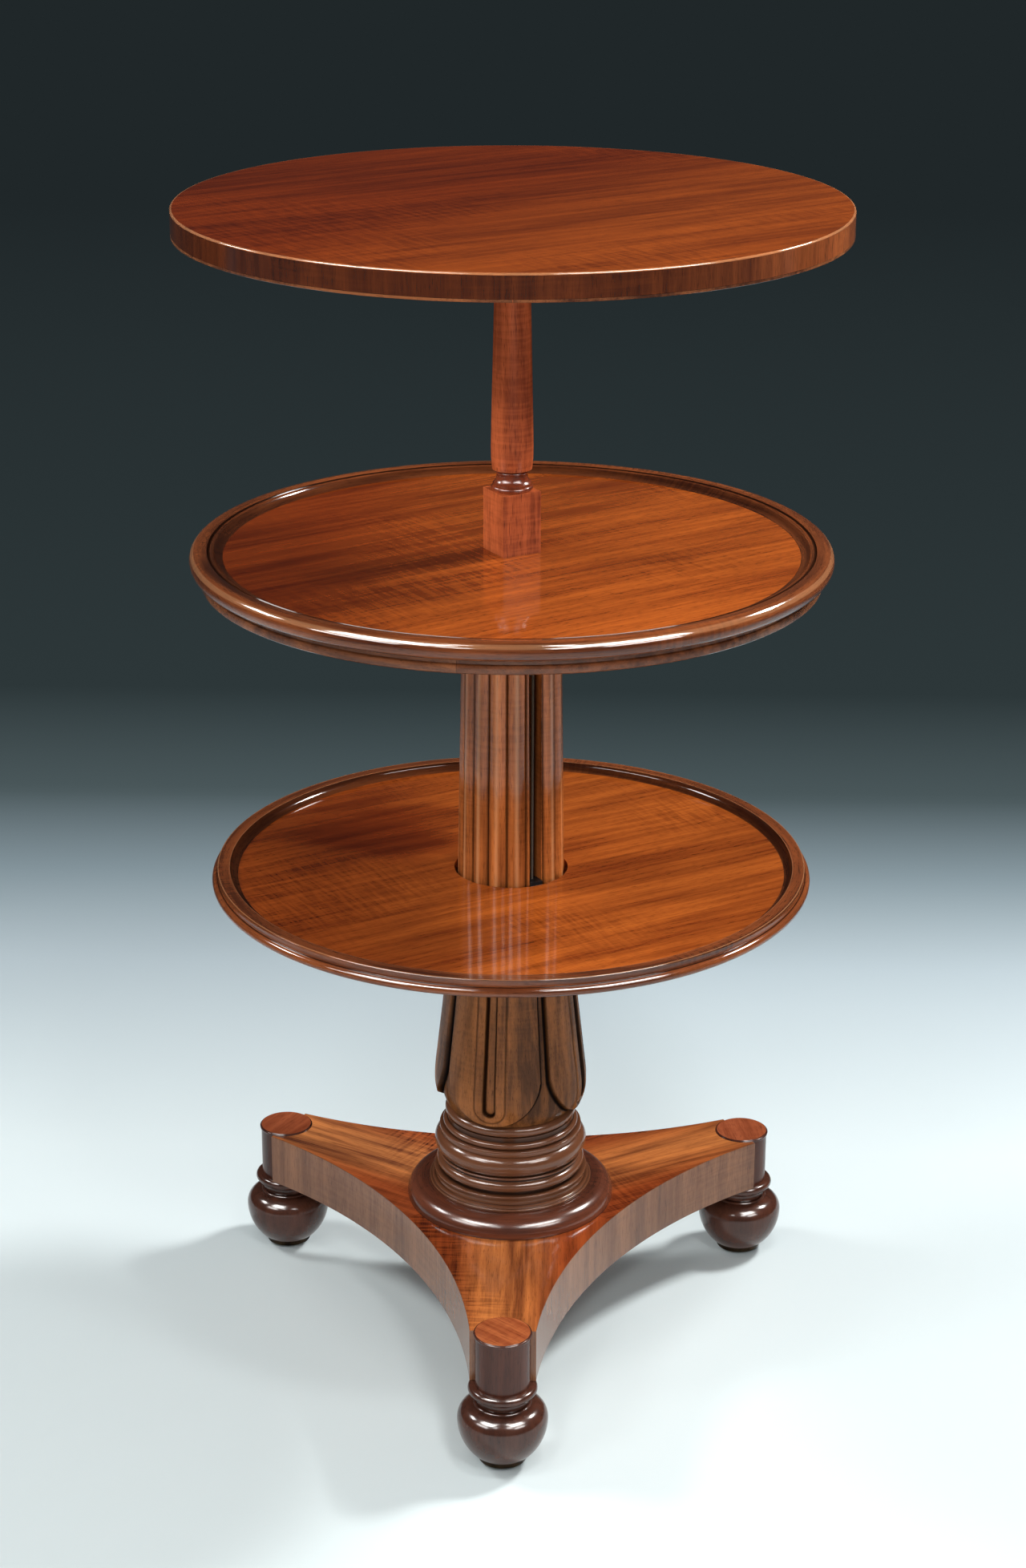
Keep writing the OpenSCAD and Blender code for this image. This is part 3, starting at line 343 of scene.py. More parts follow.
def mahogany(
    name,
    pale,
    deep,
    streak=0.8,
    ripple=0.3,
    pores=0.5,
    turn=(0, 0, 0),
    shift=(0, 0, 0),
    unwrap=False,
    gloss=0.07,
    polish=1.0,
    painted_shading=None,
    reeds=None,
    painted_side_shade=None,
    painted_shadow=None,
    painted_sheet_light=None,
    band=None,
):
    """Polished mahogany; turn brings the grain, which runs along X, into line.

    patina is the tone of painted shade, with old polish, where the piece's patina
    attribute is over zero; under zero the edge gets a pale painted highlight. reeds
    (count, first bearing) puts the painted shade between reeds and a painted
    highlight on their crests instead. flitch (bearing, near, far, shade) paints
    shade over a board towards one side, cloud (x, y, z, reach, shade) a painted
    shadow in a patch of it, and band (low, high, shade) darkens a ring between two
    heights and polishes it more. mitred (pitch, near, far, shade, tones) paints
    shade along the sides of each veneer sheet and gives each sheet a painted tone
    for the light that falls on it.
    """
    material, tree = new_material(name)
    source = add_node(tree, "ShaderNodeTexCoord").outputs["UV" if unwrap else "Object"]
    mapped = add_node(
        tree, "ShaderNodeMapping", {"Vector": source, "Rotation": turn, "Location": shift}
    ).outputs[0]
    values = {"Vector": mapped, "Pale": tone(*pale), "Deep": tone(*deep)}
    values |= {"Streak": streak, "Ripple": ripple, "Pores": pores}
    cut = add_node(tree, "ShaderNodeGroup", values, node_tree=figure).outputs
    colour, roughness = cut["Color"], cut["Roughness"]

    def off_middle(value):
        """How far a value's fraction lies from a half, 0 to 0.5."""
        return sums(tree, "ABSOLUTE", sums(tree, "SUBTRACT", sums(tree, "FRACT", value), 0.5))

    # Painted shade: the board darkens towards one side, where less light falls.
    if painted_side_shade:
        bearing, near, far, shade = painted_side_shade
        turned = math.radians(bearing)
        along = sums(tree, "MULTIPLY", part_of(tree, source, "X"), math.cos(turned))
        along = sums(tree, "MULTIPLY_ADD", part_of(tree, source, "Y"), math.sin(turned), along)
        colour = blend_colour(tree, "MULTIPLY", span(tree, along, near, far), colour, tone(*shade))
    # Painted shadow: a patch darkened round a point, with wisps.
    if painted_shadow:
        *middle, reach, shade = painted_shadow
        apart = add_node(tree, "ShaderNodeVectorMath", {0: source, 1: middle}, operation="DISTANCE")
        wisps = stretched_noise(tree, source, (9, 26, 26), 3)
        apart = sums(tree, "MULTIPLY_ADD", wisps, WISP_REACH, apart.outputs["Value"])
        dim = span(tree, apart, reach * 1.9, reach * 0.9)
        colour = blend_colour(tree, "MULTIPLY", dim, colour, tone(*shade))
    # Painted light and shade: each veneer sheet gets its own tone for the light that falls on it,
    # and painted shade along its sides.
    if painted_sheet_light:
        pitch, near, far, shade, tones = painted_sheet_light
        across = sums(tree, "MULTIPLY_ADD", part_of(tree, source, "Y"), 1 / pitch, 0.5)
        sheet = sums(tree, "DIVIDE", sums(tree, "FLOOR", across), len(tones) - 1)
        stops = [(i / (len(tones) - 1), tone(*each)) for i, each in enumerate(tones)]
        colour = blend_colour(tree, "MULTIPLY", 1.0, colour, ramp(tree, sheet, stops))
        sides = span(tree, sums(tree, "MULTIPLY", off_middle(across), pitch), near, far)
        colour = blend_colour(tree, "MULTIPLY", sides, colour, tone(*shade))
    if band:
        low, high, shade = band
        height = part_of(tree, source, "Z")
        inside = span(tree, height, low, low + BAND_FADE)
        inside = sums(tree, "MULTIPLY", inside, span(tree, height, high, high - BAND_FADE))
        colour = blend_colour(tree, "MULTIPLY", inside, colour, tone(*shade))
        polish = sums(tree, "MULTIPLY_ADD", inside, BAND_POLISH - polish, polish)
    # Painted shade in the grooves between reeds and a painted highlight along their crests.
    if reeds:
        count, start = reeds
        around = sums(tree, "ARCTAN2", part_of(tree, source, "Y"), part_of(tree, source, "X"))
        turns = count / (2 * math.pi)
        off_crest = off_middle(sums(tree, "MULTIPLY_ADD", around, turns, 0.5 - start * count / 360))
        dark = sums(tree, "MULTIPLY", span(tree, off_crest, GROOVE_EDGE, 0.5), GROOVE_SHADE)
        painted_highlight = sums(tree, "MULTIPLY", span(tree, off_crest, CREST_HALF, 0.0), CREST_HIGHLIGHT)
    # Over zero the attribute paints shade into hollows, under zero a highlight along arrises.
    elif painted_shading:
        mark = add_node(tree, "ShaderNodeAttribute", attribute_name="painted_shading").outputs["Fac"]
        dark = sums(tree, "MAXIMUM", mark)
        painted_highlight = sums(tree, "MAXIMUM", sums(tree, "MULTIPLY", mark, -1.0))
    # Painted shade first, then the pale painted highlight.
    if painted_shading:
        colour = blend_colour(tree, "MIX", dark, colour, tone(*painted_shading))
        polish = sums(tree, "MULTIPLY_ADD", dark, DULLED * polish, polish)
        roughness = sums(tree, "MULTIPLY_ADD", dark, ROUGHENED, roughness)
        colour = blend_colour(tree, "MIX", painted_highlight, colour, tone(*PALE_HIGHLIGHT_TONE))
    values = {"Base Color": colour, "Roughness": roughness, "Specular IOR Level": 0.0}
    values |= {"Coat Weight": polish, "Coat Roughness": gloss, "Coat IOR": 1.5}
    surface(tree, values, cut["Height"], strength=0.16, distance=0.0003)
    return material


# Platform
# A slab of mahogany on three arms with concave sides, bored for the column.
# Its top is veneered in three sheets that meet on mitres, its sides with
# upright grain.
MM = 0.001
FOOT_ANGLES = (-90, 30, 150)
HALF_ARM = 60
FOOT_CIRCLE = 275.0
PLATFORM_LOW, PLATFORM_TOP = 82.0, 135.0
ARM_END, ARM_HALF, WAIST = 272.0, 31.0, 116.0
NOTCH = 26.0
EDGE_STEPS = 24
BORE_R, BORE_STEPS = 63.95, 72
SHEET_PITCH = 0.31
PLATFORM_CREASE = 32


def turned_by(point, degrees):
    a = math.radians(degrees)
    x, y = point
    return (x * math.cos(a) - y * math.sin(a), x * math.sin(a) + y * math.cos(a))


def new_piece(mesh, body, node, slot, *materials):
    """Links a finished mesh as a piece of its name on its body and hides the CAD node it stands in
    for.
    """
    for material in materials:
        mesh.materials.append(material)
    piece = bpy.data.objects.new(mesh.name, mesh)
    bpy.context.scene.collection.objects.link(piece)
    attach(piece, body)
    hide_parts(node)


corner = turned_by((ARM_END, ARM_HALF), -HALF_ARM)
side_u = (corner[0] ** 2 + corner[1] ** 2 - WAIST**2) / (2 * (corner[0] - WAIST))
side_r = side_u - WAIST
notch_half = math.sqrt(NOTCH**2 - (FOOT_CIRCLE - ARM_END) ** 2)


def arm_outline(angle):
    """One arm's edge, from the middle of one concave side to the next."""
    points = []
    reach = math.atan2(-corner[1], side_u - corner[0])
    for step in range(EDGE_STEPS + 1):
        a = reach * step / EDGE_STEPS
        on_side = (side_u - side_r * math.cos(a), side_r * math.sin(a))
        points.append(turned_by(on_side, -HALF_ARM))
    side = list(points)
    sweep_a = math.atan2(notch_half, ARM_END - FOOT_CIRCLE)
    points.append((ARM_END, -notch_half))
    for step in range(1, EDGE_STEPS):
        a = -sweep_a + (2 * sweep_a - 2 * math.pi) * step / EDGE_STEPS
        points.append((FOOT_CIRCLE + NOTCH * math.cos(a), NOTCH * math.sin(a)))
    points.append((ARM_END, notch_half))
    points += [(x, -y) for x, y in reversed(side)]
    return [turned_by(p, angle) for p in points[:-1]]


arms = [arm_outline(a) for a in FOOT_ANGLES]
outline = [p for arm in arms for p in arm]
per_arm, count = len(arms[0]), len(outline)


def inset(points, distance):
    moved = []
    for i, (x, y) in enumerate(points):
        ax, ay = points[i - 1]
        bx, by = points[(i + 1) % len(points)]
        dx, dy = bx - ax, by - ay
        length = math.hypot(dx, dy) or 1.0
        moved.append((x - dy / length * distance, y + dx / length * distance))
    return moved


def sector(arm, row_start, bore_start):
    """One arm's flat face: along its outline, then back along its third of the bore."""
    edge = [row_start + (arm * per_arm + k) % count for k in range(per_arm + 1)]
    third = BORE_STEPS // 3
    back = [bore_start + (arm * third + k) % BORE_STEPS for k in range(third, -1, -1)]
    return edge + back


rows = [
    (inset(outline, 0.5), PLATFORM_LOW),
    (outline, PLATFORM_LOW + 0.5),
    (outline, PLATFORM_TOP - 0.6),
    (inset(outline, 0.2), PLATFORM_TOP - 0.15),
    (inset(outline, 0.6), PLATFORM_TOP),
]
vertices = [(x * MM, y * MM, z * MM) for ring, z in rows for x, y in ring]
bore = len(vertices)
for z in (PLATFORM_TOP, PLATFORM_LOW):
    for i in range(BORE_STEPS):
        a = math.radians(FOOT_ANGLES[0] - HALF_ARM + 360 * i / BORE_STEPS)
        vertices.append((BORE_R * math.cos(a) * MM, BORE_R * math.sin(a) * MM, z * MM))
last_row = (len(rows) - 1) * count
faces = []
for low in range(0, last_row, count):
    for i in range(count):
        j = (i + 1) % count
        faces.append((low + i, low + j, low + count + j, low + count + i))
sheets = range(len(faces), len(faces) + 3)
faces += [sector(arm, last_row, bore) for arm in range(3)]
faces += [sector(arm, 0, bore + BORE_STEPS)[::-1] for arm in range(3)]
for i in range(BORE_STEPS):
    j = (i + 1) % BORE_STEPS
    faces.append((bore + i, bore + j, bore + BORE_STEPS + j, bore + BORE_STEPS + i))
platform_mesh = bpy.data.meshes.new("platform_wood")
platform_mesh.from_pydata(vertices, [], faces)
along_arm = platform_mesh.uv_layers.new(name="grain")
for face in platform_mesh.polygons:
    face.use_smooth = True
    face.material_index = 0 if face.index in sheets else 1
for arm in range(3):
    for loop in platform_mesh.polygons[sheets[arm]].loop_indices:
        x, y, _ = platform_mesh.vertices[platform_mesh.loops[loop].vertex_index].co
        along_arm.data[loop].uv = turned_by((x, y), -FOOT_ANGLES[arm])
        along_arm.data[loop].uv[1] += SHEET_PITCH * arm
platform_mesh.set_sharp_from_angle(angle=math.radians(PLATFORM_CREASE))
new_piece(
    platform_mesh,
    "base",
    "platform",
    "dark_mahogany",
    mahogany(
        "platform_veneer",
        (236, 150, 84),
        (118, 64, 40),
        0.75,
        0.6,
        0.4,
        unwrap=True,
        gloss=0.15,
        # Painted light and shade: the left arm's sheet stays lighter than the other two, and each
        # sheet darkens along its sides.
        painted_sheet_light=(
            SHEET_PITCH,
            0.01,
            0.06,
            (196, 156, 146),
            [(212, 202, 190), (218, 208, 196), (255, 255, 255)],
        ),
    ),
    mahogany(
        "platform_sides",
        (140, 95, 67),
        (90, 57, 41),
        0.55,
        0.2,
        turn=ALONG_Z,
        gloss=0.2,
    ),
)


# Turned work
# Everything round is drawn as a half-outline of radius and height and spun
# about its axis, as it came off the lathe.
LATHE_CREASE = 34


def arc(radius, centre_r, centre_z, start, end, steps=10):
    """Points of an arc in the half-outline, with angles from the outward side."""
    return [
        (
            centre_r + radius * math.cos(math.radians(start + (end - start) * i / steps)),
            centre_z + radius * math.sin(math.radians(start + (end - start) * i / steps)),
        )
        for i in range(steps + 1)
    ]


def with_shading(points):
    """Every point as radius, height and painted shading, which is none where it isn't given."""
    return [(*p, 0.0)[:3] for p in points]


def add_ring(build, dark, z, segments, shape, around=(0.0, 0.0)):
    """A ring of vertices; shape is its radius and painted shading, or gives them all round it."""
    ring = []
    for i in range(segments):
        a = math.pi / 2 + 2 * math.pi * i / segments
        radius, shading = shape(a, z) if callable(shape) else shape
        x, y = around[0] + radius * math.cos(a), around[1] + radius * math.sin(a)
        vertex = build.verts.new((x * MM, y * MM, z * MM))
        vertex[dark] = shading
        ring.append(vertex)
    return ring


def turn_on_lathe(name, half_outline, around=(0.0, 0.0), segments=192, closed=True, pick=None):
    """Spins a half-outline given upwards along its outer side. UV runs with the rim."""
    half_outline = with_shading(half_outline)
    mesh = bpy.data.meshes.new(name)
    build = bmesh.new()
    uv = build.loops.layers.uv.new("grain")
    dark = build.verts.layers.float.new("painted_shading")
    rings = []
    lengths = [0.0]
    for (r0, z0, _), (r1, z1, _) in zip(half_outline, half_outline[1:]):
        lengths.append(lengths[-1] + math.hypot(r1 - r0, z1 - z0))
    for radius, z, shading in half_outline:
        if radius < 1e-6:
            pole = build.verts.new((around[0] * MM, around[1] * MM, z * MM))
            pole[dark] = shading
            rings.append([pole] * segments)
        else:
            rings.append(add_ring(build, dark, z, segments, (radius, shading), around))
    mean = max(p[0] for p in half_outline)
    spans = list(zip(range(len(rings)), range(1, len(rings))))
    if closed:
        spans.append((len(rings) - 1, 0))
    for low, high in spans:
        for i in range(segments):
            j = (i + 1) % segments
            corners = [(rings[low][i], i), (rings[low][j], i + 1)]
            corners += [(rings[high][j], i + 1), (rings[high][i], i)]
            seen, kept = set(), []
            for vertex, step in corners:
                if vertex not in seen:
                    seen.add(vertex)
                    kept.append((vertex, step))
            if len(kept) < 3:
                continue
            face = build.faces.new([v for v, _ in kept])
            face.smooth = True
            if pick:
                face.material_index = pick(half_outline[low], half_outline[high])
            for loop, (vertex, step) in zip(face.loops, kept):
                row = low if vertex in (rings[low][i], rings[low][j]) else high
                run = lengths[row] if (low, high) != (len(rings) - 1, 0) else 0.0
                loop[uv].uv = (2 * math.pi * step / segments * mean * MM, run * MM)
    build.to_mesh(mesh)
    build.free()
    mesh.set_sharp_from_angle(angle=math.radians(LATHE_CREASE))
    return mesh


# Corner posts
# Three round posts let into the ends of the arms, each with a thin lip round
# its polished top.
POST, POST_LIP, POST_TOP = 25.9, 27.25, 136.5
post_profile = [(0, PLATFORM_LOW), (POST, PLATFORM_LOW), (POST, 131.6), (POST, 132.4, 0.7)]
post_profile += [(POST_LIP - 0.5, 132.7, 0.3)]
post_profile += arc(1.2, POST_LIP - 1.2, POST_TOP - 1.7, -40, 90, 8)
post_profile += [(POST_LIP - 1.6, POST_TOP), (0, POST_TOP)]
post_sides = mahogany(
    "post_sides",
    (84, 46, 34),
    (52, 27, 21),
    0.7,
    0.1,
    0.4,
    turn=ALONG_Z,
    gloss=0.2,
    polish=0.7,
)
for number, angle in enumerate(FOOT_ANGLES, 1):
    post_mesh = turn_on_lathe(
        f"post_wood_{number}",
        post_profile,
        turned_by((FOOT_CIRCLE, 0), angle),
        96,
        closed=False,
        pick=lambda low, high: 1 if low[1] > POST_TOP - 0.5 else 0,
    )
    # The front post's top (number 1) is painted lighter than the other two, a painted highlight
    # where the light catches it.
    post_top = mahogany(
        f"post_top_{number}",
        (182, 104, 60) if number == 1 else (170, 92, 58),
        (124, 58, 32),
        0.6,
        0.12,
        turn=(0, 0, math.radians(40 * number)),
        shift=(0.2 * number, 0, 0),
        gloss=0.1,
    )
    new_piece(post_mesh, "base", f"corner_post_{number}", "dark_mahogany", post_sides, post_top)

# Feet
# Turned bun feet: a half-round collar, a short neck, a shoulder bead and the
# bun, dark with old polish.
FOOT_GAP = 7.0
foot_wood = mahogany(
    "foot_wood",
    (86, 49, 36),
    (48, 27, 21),
    0.5,
    0.1,
    0.4,
    turn=ALONG_Z,
    gloss=0.17,
    painted_shading=(20, 12, 10),
)
# The third numbers paint shade into the creases by the shoulder bead, the neck and the collar.
foot_profile = [(17.0, FOOT_GAP), (23.0, FOOT_GAP)]
foot_profile += arc(48.9, -6.3, 46, -52.9, 0, 24)[1:]
foot_profile += arc(16, 26.6, 46, 0, 88, 20)[1:]
foot_profile += [(26.9, 61.8, 0.9)]
foot_profile += arc(2, 25.3, 61.5, -10, 90, 8)
foot_profile += [(23.9, 63.6, 0.7), (23.6, 64.0, 0.5)]
foot_profile += arc(6, 29.6, 68.5, 226, 150, 8)[1:]
foot_profile += [(25.2, 73.0, 0.7), (28.2, 73.0, 0.7)]
foot_profile += arc(4.5, 28.1, 77.5, -85, 90, 14)
foot_profile += [(17.0, 82.0)]
for number, angle in enumerate(FOOT_ANGLES, 1):
    place = turned_by((FOOT_CIRCLE, 0), angle)
    foot_mesh = turn_on_lathe(f"foot_wood_{number}", foot_profile, place, 128)
    new_piece(foot_mesh, "base", f"foot_{number}", "dark_mahogany", foot_wood)

# Metalwork
# Brass casters hidden in the feet, and the iron and steel of the lifting
# gear. The solids come from model.glb; only their finish is made here.
metal_grime = bpy.data.node_groups.new("metal_grime", "ShaderNodeTree")
name_sockets(metal_grime, "INPUT", Clean="Color", Stained="Color", Amount="Float")
name_sockets(metal_grime, "OUTPUT", Color="Color", Roughness="Float", Height="Float")
given = metal_grime.nodes.new("NodeGroupInput").outputs
result = metal_grime.nodes.new("NodeGroupOutput").inputs
spot = add_node(metal_grime, "ShaderNodeTexCoord").outputs["Object"]
blotch = span(metal_grime, stretched_noise(metal_grime, spot, (160, 160, 160), 4, 0.6), 0.4, 0.66)
scratch = stretched_noise(metal_grime, spot, (900, 900, 60), 2)
stain = sums(metal_grime, "MULTIPLY", blotch, given["Amount"])
stained = blend_colour(metal_grime, "MIX", stain, given["Clean"], given["Stained"])
metal_grime.links.new(stained, result["Color"])
metal_grime.links.new(sums(metal_grime, "MULTIPLY_ADD", blotch, 0.22, 0.28), result["Roughness"])
metal_grime.links.new(scratch, result["Height"])


def metal(name, clean, stained, amount):
    material, tree = new_material(name)
    values = {"Clean": tone(*clean), "Stained": tone(*stained), "Amount": amount}
    worn = add_node(tree, "ShaderNodeGroup", values, node_tree=metal_grime).outputs
    values = {"Base Color": worn["Color"], "Roughness": worn["Roughness"], "Metallic": 1.0}
    surface(tree, values, worn["Height"], strength=0.3, distance=0.0002)
    return material


old_brass = metal("old_brass", (196, 158, 88), (98, 70, 36), 0.8)
# Near-black brass for the caster cups and forks, a dark thing that stands in for the shade in the
# gap under each foot.
shadow_black_brass = metal("shadow_black_brass", (62, 48, 34), (18, 14, 12), 0.9)
drawn_steel = metal("drawn_steel", (120, 118, 116), (56, 50, 46), 0.8)
filed_iron = metal("filed_iron", (92, 94, 98), (50, 44, 40), 0.8)

ARRIS_FOLD = math.radians(28)
MERGED = 0.00001
crisp_tree = bpy.data.node_groups.new("crisp_arrises", "GeometryNodeTree")
name_sockets(crisp_tree, "INPUT", Geometry="Geometry")
name_sockets(crisp_tree, "OUTPUT", Geometry="Geometry")
entering = crisp_tree.nodes.new("NodeGroupInput").outputs[0]
joined = add_node(
    crisp_tree, "GeometryNodeMergeByDistance", {"Geometry": entering, "Distance": MERGED}
)
all_smooth = add_node(
    crisp_tree, "GeometryNodeSetShadeSmooth", {"Geometry": joined.outputs[0], "Shade Smooth": True}
)
fold = add_node(crisp_tree, "GeometryNodeInputMeshEdgeAngle").outputs["Unsigned Angle"]
sharp = add_node(
    crisp_tree,
    "FunctionNodeCompare",
    {0: fold, 1: ARRIS_FOLD},
    data_type="FLOAT",
    operation="GREATER_THAN",
).outputs[0]
edges = add_node(
    crisp_tree,
    "GeometryNodeSetShadeSmooth",
    {"Geometry": all_smooth.outputs[0], "Selection": sharp, "Shade Smooth": False},
    domain="EDGE",
)
crisp_tree.links.new(edges.outputs[0], crisp_tree.nodes.new("NodeGroupOutput").inputs[0])


def dress(material, *names):
    """Gives CAD nodes their finish, with merged corners and crisp arrises."""
    for name in names:
        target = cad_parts[name]
        target.data.materials.clear()
        target.data.materials.append(material)
        target.modifiers.new("crisp_arrises", "NODES").node_group = crisp_tree


# The cups and forks are near-black, painted shade under the feet.
for number in (1, 2, 3):
    dress(shadow_black_brass, f"caster_cup_{number}", f"caster_fork_{number}")
    dress(old_brass, f"caster_wheel_{number}")
    dress(drawn_steel, f"caster_axle_{number}")
dress(filed_iron, "guide_keys", "shaft_foot_plate")
dress(drawn_steel, "pulley_axles", "friction_springs")
dress(old_brass, "pulley_1", "pulley_2", "friction_spring_screws", "lower_bearer_screws")
dress(old_brass, "well_cover_screws", "middle_boss_screws", "shaft_foot_screws")
dress(old_brass, "top_bearer_screws")

# Cushion moulding
# The turned cushion on the platform that the column's foot stands in: one ring
# of mahogany with a rounded edge, with painted shade where it meets the platform.
COLUMN_HOLE = 63.9
cushion_profile = [(COLUMN_HOLE, 135.0), (102.1, 135.0, 0.9), (102.25, 135.6, 0.3)]
cushion_profile += arc(15.5, 87.0, 138.0, -6, 90, 20)
cushion_profile += [(COLUMN_HOLE, 153.5)]
cushion_wood = mahogany(
    "cushion_wood",
    (112, 60, 40),
    (58, 31, 22),
    0.7,
    0.2,
    0.4,
    unwrap=True,
    gloss=0.2,
    painted_shading=(26, 14, 10),
)
cushion_mesh = turn_on_lathe("cushion_wood", cushion_profile, segments=256)
new_piece(cushion_mesh, "base", "cushion_ring", "dark_mahogany", cushion_wood)

# Vase column
# The fixed column: turned mouldings below, then four carved tongues, each
# with a flute and an incised border, and a plain neck under the lower tier.
SEAT = 153.5
NECK = 63.8
SWELL = 11.3
BELLY = NECK + SWELL
BELLY_Z = 264.0
ROUND_R, ROUND_H, SLOPE = 140.0, 16.0, 0.115
VASE_FOOT_Z = 237.0
FOOT_ARC = (27**2 + 7**2) / (2 * 7)
VASE_TOP_Z = 453.0
LOBES = 4
LOBE_SHIFT = 6.0
GROUND = 6.4
TONGUE_HALF = math.radians(180 / LOBES * 0.92)
TONGUE_TIP = 239.2
TONGUE_ARC = 47.3
FLUTE_WIDTH, FLUTE_DEPTH, FLUTE_TIP = 12.6, 5.4, 252.2
LINE_GAP = 9.5
FIRST_GROOVE = math.radians(-60)
FLUTE_TAPER, BORDER_TAPER = 0.26, 0.16
VASE_COLUMNS = 720
ROW_STEPS = ((270, 0.8), (292, 2.0), (360, 6.0), (VASE_TOP_Z, 9.0))
LINING_R = 55
TOP_FADE, EDGE_FADE, FLUTE_FADE = 1.5, 2.6, 1.7
LINE_DEPTH, LINE_HALF = 0.7, 1.5
BEAD_RISE, BEAD_HALF = 0.25, 2.0
CARVING_CREASE = 50


def vase_radius(z):
    """Radius of the turned vase, before carving."""
    if z < BELLY_Z:
        return BELLY - FOOT_ARC + math.sqrt(max(FOOT_ARC**2 - (BELLY_Z - z) ** 2, 0))
    if z < BELLY_Z + ROUND_H:
        return BELLY - ROUND_R + math.sqrt(ROUND_R**2 - (z - BELLY_Z) ** 2)
    round_in = ROUND_R - math.sqrt(ROUND_R**2 - ROUND_H**2)
    straight = BELLY - round_in - SLOPE * (z - BELLY_Z - ROUND_H)
    bend = math.sqrt((straight - NECK) ** 2 + 0.16)
    return (straight + NECK + bend) / 2


def ease(value):
    value = min(max(value, 0.0), 1.0)
    return value * value * (3 - 2 * value)


def upright_slot(s, z, width, foot, taper=0.0):
    """How far a point lies inside an upright slot with a round foot, in mm."""
    half = width / 2
    middle = foot + half
    if z > middle:
        return half * (1 - taper * (z - middle) / (VASE_TOP_Z - middle)) - abs(s)
    return half - math.hypot(s, z - middle)


def carved(angle, z):
    """Radius and painted shade of the carved vase at an angle and a height: shade is painted along
    the tongues' edges, in the ground between them, in the flutes and in the incised lines.

    The numbers in the patina lines are how far, in mm, the painted shade reaches from an edge.
    """
    turned = vase_radius(z)
    ground = turned - GROUND
    if z > VASE_TOP_Z - 0.01:
        return NECK, 0.0
    local = (angle - FIRST_GROOVE) % (2 * math.pi / LOBES) - math.pi / LOBES
    shifted = turned - LOBE_SHIFT
    side = LOBE_SHIFT * math.sin(local)
    face = LOBE_SHIFT * math.cos(local) + math.sqrt(shifted**2 - side**2)
    s = face * math.sin(local)
    edge = (TONGUE_HALF - abs(local)) * face
    if z < TONGUE_TIP + TONGUE_ARC:
        edge = min(edge, TONGUE_ARC - math.hypot(s, z - TONGUE_TIP - TONGUE_ARC))
    top = ease((VASE_TOP_Z - z) / TOP_FADE)
    raised = ease((edge + 1.0) / EDGE_FADE)
    radius = ground + (face - ground) * raised
    painted_shading = ease(1.2 - abs(edge + 0.9) / 2.4)
    if edge < 0:
        painted_shading = max(painted_shading, 0.3 * ease(-edge / 3))
    flute = upright_slot(s, z, FLUTE_WIDTH, FLUTE_TIP, FLUTE_TAPER)
    if flute > -1:
        sunk = FLUTE_DEPTH * ease((flute + 0.2) / FLUTE_FADE)
        radius -= sunk * top
        painted_shading = max(painted_shading, ease(1.15 - abs(flute - 0.9) / 1.9) * 0.97)
    border = FLUTE_WIDTH + 2 * LINE_GAP
    line = upright_slot(s, z, border, FLUTE_TIP - LINE_GAP + 2, BORDER_TAPER)
    if edge > 0:
        radius -= LINE_DEPTH * ease(1.3 - abs(line) / LINE_HALF) * top
        radius += BEAD_RISE * ease(1 - abs(line - 2.6) / BEAD_HALF) * top
        painted_shading = max(painted_shading, 0.6 * ease(1.2 - abs(line) / 1.2))
    return radius, painted_shading * max(top, 0.4)


def on_neck(*offsets):
    """Points given by how far they lie outside the neck and above the seat."""
    return [(NECK + out, SEAT + up, *shading) for out, up, *shading in offsets]


